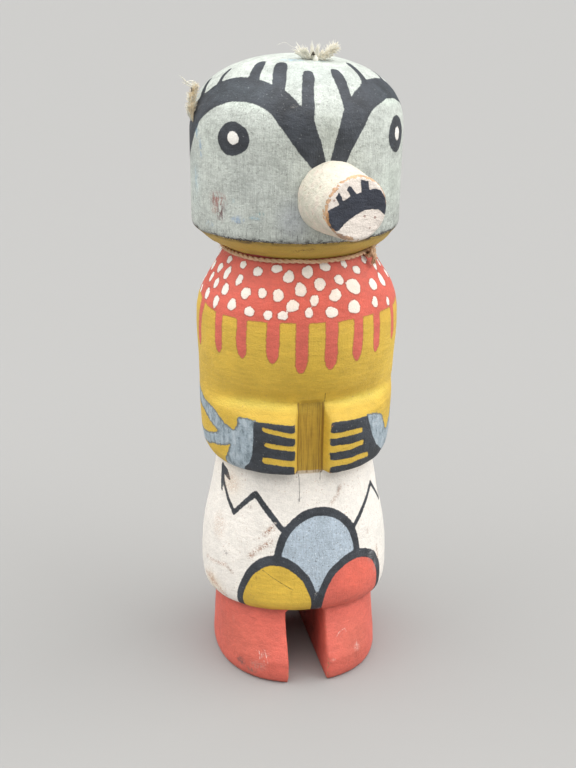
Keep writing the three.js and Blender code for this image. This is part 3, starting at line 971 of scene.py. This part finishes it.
def figure_material():
    s = PaintedWood("carved_wood_paint")
    masks = {name: s.cover(name, rough=ROUGH_EDGE.get(name, 0.5)) for name in COAT_ORDER}
    coat = lay_coats(s, masks)
    # Painted shade in the notch between the hands: a browner, streaked back wall and dark lines down its
    # corners.
    lines = s.step(s.noise(0.5, stretch=(1, 1, 24), detail=3, roughness=0.7, seed=51), 0.44, 0.7)
    lines = s.times(lines, s.step(s.channel("notch"), 0.0, 0.5, 0.0, 0.7))
    lines = s.math("MAXIMUM", lines, s.step(s.channel("corner"), -0.2, 0.2, 0.0, 0.75))
    coat = s.blend(s.step(s.channel("notch"), -0.2, 0.3, 0.0, 0.5), coat, linear(176, 138, 44))
    coat = s.blend(lines, coat, linear(122, 86, 30))
    # The tone tint multiplies in painted highlights and painted shade, with broad changes of the paint's
    # tone.
    coat = s.multiply(coat, s.tint("tone")[0])

    coat = s.marked(coat, "stain", 0.9, (1, 1, 2), 0.42, 0.58, seed=21)
    coat = s.marked(coat, "scuff", 0.42, (1.2, 1.2, 1), 0.46, 0.56, seed=23)
    chips = rim_chips(s)
    coat = s.blend(chips, coat, OLD_LINE)
    bare = s.step(s.sum(s.channel("wear"), s.about(s.ragged, 1.6)), 0.5, 0.7)
    coat = s.blend(bare, coat, s.vary(WOOD, (s.streaks, 0.3)))
    # Darkens dirty places along the head's rim, and lays painted shade in hollows and deep between the boots.
    soil_and_shade = s.math("MULTIPLY", s.channel("dirt_and_shade"), s.step(s.clouds, 0, 1, 0.55, 1.0), clamp=True)
    coat = s.blend(soil_and_shade, coat, GRIME_AND_SHADE)
    crack = s.step(s.math("ABSOLUTE", s.channel("crack")), 0.02, 0.15, 1.0, 0.0)
    coat = s.blend(s.times(crack, s.step(s.ragged, 0.35, 0.6, 0.3, 0.75)), coat, GRIME_AND_SHADE)
    scratch = s.step(s.math("ABSOLUTE", s.channel("scratch")), 0.02, 0.16, 1.0, 0.0)
    coat = s.blend(s.times(scratch, s.step(s.ragged, 0.4, 0.55, 0.1, 0.8)), coat, SCRATCHED)
    s.colour(coat)

    thick = s.sum(s.times(masks["white"], 0.14), s.times(masks["black"], 0.05))
    brush = s.sum(s.times(s.streaks, 0.03), s.times(s.sweeps, 0.015),
                  s.times(s.dabs, 0.07), s.times(s.grit, 0.035))
    hurts = s.sum(s.times(crack, 0.2), s.times(chips, 0.12), s.times(bare, 0.1))
    s.relief(s.math("SUBTRACT", s.sum(thick, brush), hurts))
    return s.material


# ---------------------------------------------------------------- the figure

FIGURE_VOXEL = 0.72            # keeps the figure under 200,000 triangles


def nearest(distances):
    """Of several signed distances, the one that is the smallest in size."""
    distances = np.array(distances)
    first = np.abs(distances).argmin(axis=0)
    return np.take_along_axis(distances, first[None], axis=0)[0]


def roughen(net, layers):
    """Knife work and wear: the surface wavers, edges are nicked, and thick paint stands up."""
    normals = net.normals()
    p = net.points
    push = 0.16 * noise(p, 11, 1) + 0.09 * noise(p, 5, 2) + 0.035 * noise(p * [1, 1, 0.3], 1.8, 3)
    bend = net.soften(np.einsum("ij,ij->i", p - net.spread(p), normals), 3)
    edge = step(0.02, 0.09, bend)
    push -= edge * (0.12 + 0.22 * np.maximum(noise(p, 3.1, 4), 0))
    thick = step(0, 0.5, layers["white"])
    push += 0.11 * thick + 0.03 * step(-0.2, 0.3, layers["black"])
    foot = step(0, 1.5, p[:, 2])
    net.points = p + normals * (push * foot)[:, None]
    return bend


def make_figure():
    mesh = fine_mesh("figure", FIGURE_VOXEL)
    net = Net(mesh)
    net.relax(4)
    net.store()
    canvas, layers = paint_figure(net)
    net.add_tint("stain", soft_marks(canvas, STAINS))
    net.add_tint("scuff", soft_marks(canvas, SCUFFS, LONG_SCUFFS))
    # The tone tint holds painted highlights and painted shade as well as broad changes of the paint's tone.
    net.add_tint("tone", tones_and_painted_light(canvas))
    net.add_channel("over_rim", canvas.up - RIM)
    # Where painted shade goes in the notch between the hands.
    net.add_channel("notch", notch_back_shade(net.points))
    net.add_channel("corner", notch_corner_shade(net.points))
    for name, routes in dict(crack=CRACKS, scratch=SCRATCHES).items():
        net.add_channel(name, nearest([canvas.offset(route) for route in routes]))
    bend = roughen(net, layers)
    net.store()
    rim = 1 - step(0.3, 1.1, np.abs(canvas.up - RIM + 0.3))
    low = step(0.02, 0.1, bend)
    # Concave places get painted shade.
    hollow_shade = step(0.015, 0.08, -bend)
    net.add_channel("wear", low * 0.55 * (np.abs(canvas.up - RIM) > 3))
    # Dirty marks along the head's rim, with painted shade in hollows and deep in the gap between the boots.
    grime_and_shade = hollow_shade * 0.45 + rim * (0.55 + 0.5 * noise(canvas.points, 1.6, 9))
    grime_and_shade += 0.55 * shade_between_boots(net.points)
    net.add_channel("dirt_and_shade", np.clip(grime_and_shade, 0, 1))
    net.shade_smooth()
    mesh.materials.append(figure_material())
    piece = add_object("carved_figure", mesh)
    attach(piece, "root")
    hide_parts("figure")


# ---------------------------------------------------------------- the snout

SNOUT_HEADING = 8.5            # the peg points this far round from the front, and slightly up
SNOUT_RISE = 2.0
SNOUT_RADIUS = 8.2             # at its end
SNOUT_VOXEL = 0.3

# The mouth on the peg's end: millimetres to the right of and above its middle.
MOUTH = [(-4.7, -4.9), (-3.6, -3.7), (-1.7, -2.3), (0.2, -1.2), (2.1, -0.5), (4.0, -0.3), (5.8, -0.6),
         (7.8, -2.2), (8.3, 0), (7.7, 2.2), (6.3, 4.1), (4.7, 4.7), (3.2, 4.5), (2.8, 6.6), (0.8, 7.1),
         (1.0, 4.0), (-0.4, 3.7), (-1.5, 5.1), (-2.3, 5.7), (-3.0, 4.7), (-1.9, 3.2), (-3.9, 2.1),
         (-4.4, 3.4), (-5.1, 4.4), (-5.8, 3.0), (-5.0, 1.3), (-6.5, 0.6), (-7.9, 0.0), (-8.3, -2.0),
         (-7.0, -4.4), (-5.7, -5.3)]
# Where the rim's paint is gone: an angle round the end, and how far that reaches in on the end
# and back on the side.
WORN_RIM = [(0, 0.2, 0.3), (28, 0.5, 0.9), (55, 0.5, 1.2), (88, 0.5, 0.9), (112, 0.6, 0.5),
            (138, 0.7, 0.5), (160, 0.5, 0.5), (174, 0.4, 1.7), (188, 0.4, 2.7), (202, 0.3, 1.4),
            (216, 0.3, 0.5), (236, 0.6, 0.8), (258, 0.9, 0.6), (282, 0.3, 0.3), (320, 0.1, 0.15),
            (360, 0.2, 0.3)]
END_SPOTS = [(4.8, -2.5, 0.34), (1.9, -2.0, 0.36), (3.4, -5.0, 0.25), (-6.2, 2.4, 0.3)]


def snout_material():
    s = PaintedWood("peg_paint")
    side = s.vary(linear(214, 208, 191), (s.clouds, 0.16), (s.dabs, 0.12), (s.grit, 0.10))
    blotch = s.marks(2.2, detail=3, roughness=0.65, seed=63)
    side = s.blend(s.step(blotch, 0.6, 1.0, 0.0, 0.5), side, linear(222, 204, 190))
    side = s.blend(s.step(blotch, 0.4, 0.0, 0.0, 0.5), side, linear(196, 196, 176))
    side = s.speckle(side, 1.0, linear(170, 140, 116), 0.8, seed=61, rarity=0.66, strength=0.6)
    face = s.vary(linear(235, 224, 213), (s.clouds, 0.10), (s.dabs, 0.08), (s.grit, 0.12))
    black = s.vary(linear(50, 54, 65), (s.clouds, 0.3), (s.dabs, 0.2), (s.grit, 0.15))
    ink = s.cover("mouth", rough=0.5, soft=0.08)
    coat = s.blend(s.step(s.channel("end"), -0.2, 0.2), side, face)
    coat = s.blend(ink, coat, black)
    spot = s.cover("spots", rough=0.25, soft=0.08)
    coat = s.blend(s.times(spot, 0.7), coat, linear(142, 100, 84))
    raw = s.step(s.sum(s.channel("worn"), s.about(s.ragged, 1.8), s.about(s.dabs, 0.9)), -0.1, 0.25)
    wood = s.blend(s.clouds, linear(146, 106, 78), linear(204, 152, 96))
    coat = s.blend(s.times(raw, 0.8), coat, s.vary(wood, (s.dabs, 0.35), (s.grit, 0.3)))
    s.colour(coat)
    lumps = s.sum(s.times(s.dabs, 0.12), s.times(s.grit, 0.05), s.times(ink, 0.06))
    s.relief(s.math("SUBTRACT", lumps, s.times(raw, 0.12)))
    return s.material


def make_snout():
    net = Net(fine_mesh("snout", SNOUT_VOXEL))
    net.relax(3)
    out = facing(SNOUT_HEADING, SNOUT_RISE)
    along = net.points @ out
    middle = net.points[along > along.max() - 0.05].mean(axis=0)
    p = wobbled(net.points, 2.0, 0.1) - middle
    right = facing(SNOUT_HEADING + 90)
    u = p @ right
    v = p @ np.cross(right, -out)
    depth = np.maximum(-(p @ out), 0)
    ring = np.hypot(u, v)
    net.add_channel("mouth", both(inside(u, v, np.array(MOUTH)), 0.9 - depth))
    net.add_channel("end", 0.45 - depth)
    spots = either(*[size - np.hypot(u - a, v - b) for a, b, size in END_SPOTS])
    net.add_channel("spots", both(spots, 0.5 - depth))

    turn = np.degrees(np.arctan2(v, u)) % 360
    turns, on_end, on_side = np.array(WORN_RIM, dtype=float).T
    inward = (SNOUT_RADIUS - ring) / np.interp(turn, turns, on_end)
    back = depth / np.interp(turn, turns, on_side)
    net.add_channel("worn", 1 - np.where(depth < 0.3, np.maximum(inward, back), back))

    edge = np.hypot(np.maximum(SNOUT_RADIUS - ring, 0), depth)
    push = 0.10 * noise(net.points, 5, 12) + 0.06 * noise(net.points, 1.6, 13)
    push += 0.75 * step(2, 14, depth) * np.clip(v / np.maximum(ring, 0.1), 0, 1)
    push += 0.25 * step(2, 14, depth) * np.clip(-u / np.maximum(ring, 0.1), 0, 1)
    push -= 0.2 * step(0.9, 0.1, edge) * (0.5 + np.maximum(noise(p, 1.9, 14), 0))
    net.points = net.points + net.normals() * push[:, None]
    net.store()
    net.shade_smooth()
    net.mesh.materials.append(snout_material())
    piece = add_object("peg_snout", net.mesh)
    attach(piece, "root")
    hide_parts("snout")


# ---------------------------------------------------------------- strands: twine and feather barbs

class Strands:
    """Thin round strands gathered into one mesh, each with its own shade from 0 to 1."""

    def __init__(self):
        self.points = []
        self.faces = []
        self.shades = []
        self.count = 0

    def add(self, path, radii, shade=0.5, sides=5):
        path = np.asarray(path, dtype=float)
        n = len(path)
        along = unit(np.gradient(path, axis=0))
        guide = np.eye(3)[np.abs(along).mean(axis=0).argmin()]
        first = unit(np.cross(along, guide))
        second = np.cross(along, first)
        turn = np.arange(sides) / sides * 2 * math.pi
        size = np.interp(np.linspace(0, 1, n), np.linspace(0, 1, len(radii)), radii)
        ring = first[:, None] * np.cos(turn)[:, None] + second[:, None] * np.sin(turn)[:, None]
        self.points.append((path[:, None] + ring * size[:, None, None]).reshape(-1, 3))
        self.shades.append(np.full(n * sides, shade))
        start = self.count
        for i in range(n - 1):
            low = start + i * sides
            for k in range(sides):
                nxt = (k + 1) % sides
                self.faces.append((low + k, low + nxt, low + sides + nxt, low + sides + k))
        self.faces.append(tuple(start + k for k in reversed(range(sides))))
        self.faces.append(tuple(start + (n - 1) * sides + k for k in range(sides)))
        self.count += n * sides

    def make(self, name, material):
        mesh = bpy.data.meshes.new(name)
        points = (np.vstack(self.points) + AXIS) * MM
        mesh.from_pydata(points.tolist(), [], self.faces)
        layer = mesh.attributes.new("shade", "FLOAT", "POINT")
        layer.data.foreach_set("value", np.concatenate(self.shades).astype(np.float32))
        mesh.polygons.foreach_set("use_smooth", np.ones(len(mesh.polygons), dtype=bool))
        mesh.materials.append(material)
        piece = add_object(name, mesh)
        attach(piece, "root")
        return piece


def sprig(start, direction, length, bend, points=6):
    """A barb's path: it sets out in a direction and bends as it goes."""
    t = np.linspace(0, 1, points)[:, None]
    return np.asarray(start) + np.asarray(direction) * length * t + np.asarray(bend) * t * t


def rounded(places, points=24):
    """A smooth path through a few places."""
    t = np.linspace(0, 1, points)
    knots = np.linspace(0, 1, len(places))
    path = np.stack([np.interp(t, knots, column) for column in np.asarray(places).T], axis=1)
    for _ in range(6):
        path[1:-1] = (path[:-2] + 2 * path[1:-1] + path[2:]) / 4
    return path


def bow(start, middle, end, points=12):
    """A smooth arc from start to end that leans towards middle."""
    t = np.linspace(0, 1, points)[:, None]
    return (1 - t) ** 2 * np.array(start) + 2 * t * (1 - t) * np.array(middle) + t * t * np.array(end)


# ---------------------------------------------------------------- the neck twine

STRING_MIDDLE = np.array([0.7, 0, 127.95])
STRING_HALF_WIDTH = 21.42
STRING_HALF_DEPTH = 21.02
PLY_RADIUS = 0.37
PLY_OFFSET = 0.25              # each ply's middle from the twine's middle
LAY = 3.6                      # length of one twist
KNOT_ANGLE = 50
KNOT_RADIUS = 1.05
KNOT_TURNS = 2.3
FUZZ_COUNT = 110               # loose fibres along the ring


def plies(strands, route, out, shade, lay=LAY, sides=8, fade=1.0):
    """Two plies twisted round each other along a route. out points away from the doll at each point."""
    along = unit(np.gradient(route, axis=0))
    out = unit(out - np.einsum("ij,ij->i", out, along)[:, None] * along)
    up = np.cross(along, out)
    travelled = np.concatenate([[0], np.cumsum(np.linalg.norm(np.diff(route, axis=0), axis=1))])
    for side in (0, math.pi):
        turn = (travelled / lay * 2 * math.pi + side)[:, None]
        path = route + PLY_OFFSET * (out * np.cos(turn) + up * np.sin(turn))
        strands.add(path, [PLY_RADIUS, PLY_RADIUS * fade], shade, sides)


def ring_route(first, last, points):
    turn = np.radians(np.linspace(first, last, points))
    out = np.stack([np.sin(turn), -np.cos(turn), np.zeros(points)], axis=1)
    route = STRING_MIDDLE + out * [STRING_HALF_WIDTH, STRING_HALF_DEPTH, 1]
    route[:, 2] += 0.22 * noise(route, 9, 5) + 0.1 * noise(route, 4, 6)
    return route, out


def twine_material():
    s = Shader("dry_twine", roughness=0.9, specular=0.15)
    fibre = s.noise(0.35, detail=3, roughness=0.7)
    patch = s.noise(5, detail=2, seed=2)
    base = s.blend(s.channel("shade"), linear(176, 134, 100), linear(226, 196, 164))
    shade = s.math("ADD", s.times(fibre, 0.5), s.times(patch, 0.3))
    s.colour(s.brighten(base, s.math("ADD", 0.66, shade)))
    s.relief(s.times(fibre, 0.12))
    return s.material


def frayed_end(strands, rng, tip, along, count, reach):
    for _ in range(count):
        spread = rng.normal(0, 0.33, 3)
        bend = rng.normal(0, 0.45, 3)
        start = tip - along * rng.uniform(0, 0.6) + rng.normal(0, 0.25, 3)
        path = sprig(start, unit(along + spread), reach * rng.uniform(0.5, 1.1), bend)
        strands.add(path, [0.11, 0.09, 0.04], rng.uniform(0.2, 0.9), sides=4)


def tail(strands, rng, start, middle, end, shade):
    """A short loose end of the twine that opens into fibres."""
    route = bow(start, middle, end, 16)
    out = np.tile(facing(KNOT_ANGLE), (len(route), 1))
    plies(strands, route, out, shade, lay=3.0, fade=0.8)
    frayed_end(strands, rng, route[-1], unit(route[-1] - route[-2]), 26, 1.4)


def make_string():
    rng = np.random.default_rng(21)
    strands = Strands()
    route, out = ring_route(KNOT_ANGLE + 1, KNOT_ANGLE + 359, 1100)
    plies(strands, route, out, 0.6)

    for i in rng.integers(10, len(route) - 10, FUZZ_COUNT):
        start = route[i] + out[i] * 0.6 + [0, 0, rng.uniform(-0.5, 0.5)]
        along = unit(route[i + 1] - route[i]) * rng.choice([-1, 1])
        lean = unit(along * 0.8 + out[i] * 0.4 + rng.normal(0, 0.4, 3))
        path = sprig(start, lean, rng.uniform(0.5, 1.4), rng.normal(0, 0.3, 3))
        strands.add(path, [0.05, 0.02], rng.uniform(0.5, 1), sides=3)

    outward = facing(KNOT_ANGLE)
    along = facing(KNOT_ANGLE + 90)
    seat = route[0] + outward * 0.9
    turn = np.linspace(-0.4, KNOT_TURNS * 2 * math.pi, 70)[:, None]
    slide = np.linspace(-KNOT_RADIUS, KNOT_RADIUS, 70)[:, None]
    upward = np.array([0, 0, 1.0])
    wrap = seat + along * slide + KNOT_RADIUS * (outward * np.cos(turn) + upward * np.sin(turn))
    plies(strands, wrap, wrap - seat - along * slide, 0.45, lay=2.8)
    cross = bow(seat - along * 1.3 + [0, 0, -0.9], seat + outward * 2.2, seat + along * 1.2 + [0, 0, 1.0])
    plies(strands, cross, np.tile(outward, (len(cross), 1)), 0.5, lay=2.8)

    down = seat + outward * 1.5
    rise = seat + outward * 1.1
    tails = [
        (seat + outward * 0.6, down + along * 0.3 - [0, 0, 0.6], down - along * 0.5 - [0, 0, 2.4], 0.5),
        (seat + along * 0.4, rise + along * 0.9 + [0, 0, 1.4], rise + along * 1.2 + [0, 0, 2.8], 0.7),
        (seat + along * 0.2, rise + along * 0.3 + [0, 0, 1.2], rise + along * 0.4 + [0, 0, 2.5], 0.8),
        (seat + outward * 0.9, down + along * 0.9 - [0, 0, 0.6], down + along * 0.3 - [0, 0, 2.1], 0.7),
    ]
    for start, middle, end, shade in tails:
        tail(strands, rng, start, middle, end, shade)
    piece = strands.make("neck_twine", twine_material())
    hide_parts("neck_string")


# ---------------------------------------------------------------- the feather tufts

CROWN_FOOT = np.array([2.9, -9.5, 179.0])
BRUSH_TOP = np.array([8.0, -8.4, 182.0])
FAN_CLUMPS = 30
EAR_ANGLE = -83
EAR_FOOT = 163.2
EAR_TOP = 171.8


def feather_material():
    s = Shader("feather_down", roughness=0.85, specular=0.2)
    patch = s.noise(1.6, detail=2)
    ramp = s.blend(s.step(s.channel("shade"), 0.0, 0.35), linear(92, 84, 74), linear(234, 214, 176))
    ramp = s.blend(s.step(s.channel("shade"), 0.35, 0.85), ramp, linear(240, 237, 224))
    s.colour(s.brighten(ramp, s.math("ADD", 0.86, s.times(patch, 0.2))))
    return s.material


def bristle(strands, rng, shaft, count, reach, spread, shade, thick=0.1, first=0.1):
    """Barbs all along a shaft, lying mostly towards its tip."""
    along = unit(np.gradient(shaft, axis=0))
    for _ in range(count):
        t = rng.uniform(first, 1) * (len(shaft) - 1)
        i = int(t)
        side = unit(rng.normal(0, 1, 3))
        start = shaft[i] + along[i] * rng.uniform(-0.3, 0.3)
        lean = unit(along[i] + side * spread * rng.uniform(0.4, 1.1))
        bend = side * rng.uniform(-0.2, 0.5) + rng.normal(0, 0.15, 3)
        path = sprig(start, lean, reach * rng.uniform(0.55, 1.1), bend)
        tone = np.clip(shade + rng.normal(0, 0.12), 0, 1)
        strands.add(path, [thick, thick * 0.8, thick * 0.3], tone, sides=4)


def clump(strands, rng, root, tip, count, spread, shade):
    """Barbs that set out around a root and come together at a tip."""
    for _ in range(count):
        start = root + rng.normal(0, spread, 3)
        end = tip + rng.normal(0, spread * 0.5, 3)
        path = sprig(start, end - start, rng.uniform(0.7, 1.08), rng.normal(0, 0.18, 3))
        tone = np.clip(shade + rng.normal(0, 0.09), 0, 1)
        strands.add(path, [0.09, 0.08, 0.02], tone, sides=4)


def make_crown_tuft():
    """A pale stub of quill, with a fan of spiky barbs to one side of it and a downy brush to the other."""
    rng = np.random.default_rng(31)
    strands = Strands()
    foot = CROWN_FOOT
    quill = bow(foot - [0, 0, 0.5], foot + [-0.1, -0.5, 0.5], foot + [-0.2, -0.2, 1.3])
    strands.add(quill, [0.6, 0.78, 0.7, 0.3], 0.85, sides=10)

    brush = bow(foot + [0.4, 0.2, 0.6], foot + [2.8, 0.5, 1.3], BRUSH_TOP)
    strands.add(brush, [0.5, 0.5, 0.3], 0.7, sides=6)
    bristle(strands, rng, brush, 900, 1.9, spread=1.0, shade=0.78, thick=0.09, first=0.0)
    bristle(strands, rng, brush[7:], 300, 2.1, spread=0.7, shade=0.85, thick=0.08, first=0.0)
    bristle(strands, rng, brush, 90, 2.4, spread=1.5, shade=0.95, thick=0.05, first=0.1)

    for i in range(FAN_CLUMPS):
        across = (i + rng.uniform(0, 1)) / FAN_CLUMPS
        root = foot + [0.3 - 3.4 * across, rng.normal(0.2, 0.3) + 0.8 * across, 0.3 + 0.5 * across]
        lean = np.array([0.3 - 1.0 * across, rng.normal(0, 0.3), 1.0 - 0.4 * across])
        lean = unit(lean + rng.normal(0, 0.2, 3))
        clump(strands, rng, root, root + lean * rng.uniform(2.0, 4.2), 15, spread=0.17, shade=0.9)
    for _ in range(26):
        start = foot + [-0.9, -0.9, 1.8] + rng.normal(0, 0.13, 3)
        strands.add(sprig(start, unit(rng.normal(0, 1, 3)), 0.4, (0, 0, 0)), [0.10, 0.07], 0.0, sides=4)
    stray = np.array([[-2.4, 0, 2.2], [-4.4, 0, 3.2], [-6.6, 0, 3.6], [-8.2, 0, 5.0], [-10.4, 0, 4.0]]) + foot
    strands.add(rounded(stray), [0.05, 0.035, 0.02], 1.0, sides=4)
    piece = strands.make("crown_tuft", feather_material())
    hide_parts("crown_feather")


def make_ear_tuft():
    """A cream spindle of barbs along the dome, with pale barbs outside it and curled wisps on top."""
    rng = np.random.default_rng(41)
    strands = Strands()
    out = facing(EAR_ANGLE)

    def at(reach, height, forward=0.0):
        return out * reach + facing(EAR_ANGLE + 90) * forward + [0, 0, height]

    shaft = bow(at(29.2, EAR_FOOT), at(29.9, 167.6), at(28.5, EAR_TOP), 16)
    strands.add(shaft, [0.25, 0.6, 0.7, 0.5, 0.2], 0.48, sides=6)
    bristle(strands, rng, shaft[2:], 620, 2.1, spread=0.75, shade=0.56, thick=0.10, first=0.0)
    bristle(strands, rng, shaft[4:12], 160, 1.9, spread=0.9, shade=0.75, thick=0.08, first=0.0)
    bristle(strands, rng, shaft[:6], 90, 2.0, spread=0.3, shade=0.55, thick=0.09, first=0.0)
    for height, reach in ((165.2, 29.9), (166.0, 30.2), (166.6, 30.5), (168.6, 30.0), (169.4, 30.1)):
        root, tip = at(reach - 0.3, height - 1.6), at(reach + 0.5, height + 1.0)
        clump(strands, rng, root, tip, 22, spread=0.2, shade=0.95)
    clump(strands, rng, at(29.5, 171.2, 0.7), at(29.6, 172.0, 0.7), 8, spread=0.14, shade=0.05)

    wisps = [
        [at(27.9, 172.2), at(29.2, 172.7), at(30.9, 173.4), at(32.0, 174.8)],
        [at(28.0, 172.4), at(28.8, 173.6), at(29.9, 173.7), at(30.9, 173.2)],
        [at(28.2, 171.8), at(29.8, 172.3), at(31.0, 172.9), at(31.8, 173.5)],
        [at(28.0, 172.6), at(29.4, 173.0), at(30.6, 173.2), at(31.4, 174.3)],
    ]
    for wisp in wisps:
        for _ in range(3):
            path = rounded(np.array(wisp) + rng.normal(0, 0.12, 3))
            strands.add(path, [0.10, 0.09, 0.03], rng.uniform(0.9, 1.0), sides=4)
            bristle(strands, rng, path, 6, 0.6, spread=0.6, shade=0.95, thick=0.035, first=0.2)
    piece = strands.make("ear_tuft", feather_material())
    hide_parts("ear_feather")


# ---------------------------------------------------------------- stage

CAMERA_ANGLE = -12.0
CAMERA_REACH = 333.3           # horizontal distance from the head's axis
CAMERA_HEIGHT = 208.6
CAMERA_PITCH = 20.3
CAMERA_SIDE = -1.68            # the doll stands this much right of the picture's middle
CAMERA_ROLL = 0.49             # its crown leans this much to the right
FOCAL_LENGTH = 56.25
SENSOR = 36.0


def add_camera():
    lens = bpy.data.cameras.new("camera")
    lens.lens = FOCAL_LENGTH
    lens.sensor_width = SENSOR
    lens.clip_start = 0.01
    lens.clip_end = 50
    camera = add_object("camera", lens)
    away = facing(CAMERA_ANGLE)
    right = facing(CAMERA_ANGLE + 90)
    place = AXIS + away * CAMERA_REACH + right * CAMERA_SIDE + [0, 0, CAMERA_HEIGHT]
    look = -facing(CAMERA_ANGLE, CAMERA_PITCH)
    aim = Vector(look).to_track_quat("-Z", "Y").to_matrix().to_4x4()
    roll = Matrix.Rotation(math.radians(CAMERA_ROLL), 4, "Z")
    camera.matrix_world = Matrix.Translation(Vector(place * MM)) @ aim @ roll
    bpy.context.scene.camera = camera


def add_lamp(name, angle, rise, spread, strength, colour=(1, 1, 1)):
    """A broad soft light from far off, spread over some degrees of the sky."""
    light = bpy.data.lights.new(name, "SUN")
    light.angle = math.radians(spread)
    light.energy = strength
    light.color = colour
    lamp = add_object(name, light)
    lamp.matrix_world = Vector(-facing(angle, rise)).to_track_quat("-Z", "Y").to_matrix().to_4x4()


FLOOR_REACH = 9000


def add_floor():
    form = bmesh.new()
    bmesh.ops.create_circle(form, cap_ends=True, segments=96, radius=FLOOR_REACH * MM)
    mesh = bpy.data.meshes.new("floor")
    form.to_mesh(mesh)
    form.free()
    s = Shader("pale_floor", roughness=0.75, specular=0.2)
    s.colour(linear(154, 153, 151))
    mesh.materials.append(s.material)
    add_object("floor", mesh)


def add_light():
    add_lamp("overhead", 15, 82, 95, 4.1)
    add_lamp("front_left", -50, 38, 70, 0.3)
    add_lamp("right_side", 74, 30, 70, 1.8)
    add_lamp("left_side", -98, 30, 70, 1.2)
    world = bpy.data.worlds.new("studio")
    world.use_nodes = True
    sky = world.node_tree.nodes["Background"]
    sky.inputs["Color"].default_value = (0.93, 0.96, 1.0, 1)
    sky.inputs["Strength"].default_value = 0.14
    bpy.context.scene.world = world
    bpy.context.scene.view_settings.view_transform = "Standard"


add_camera()
add_floor()
add_light()
make_figure()
make_snout()
make_string()
make_crown_tuft()
make_ear_tuft()
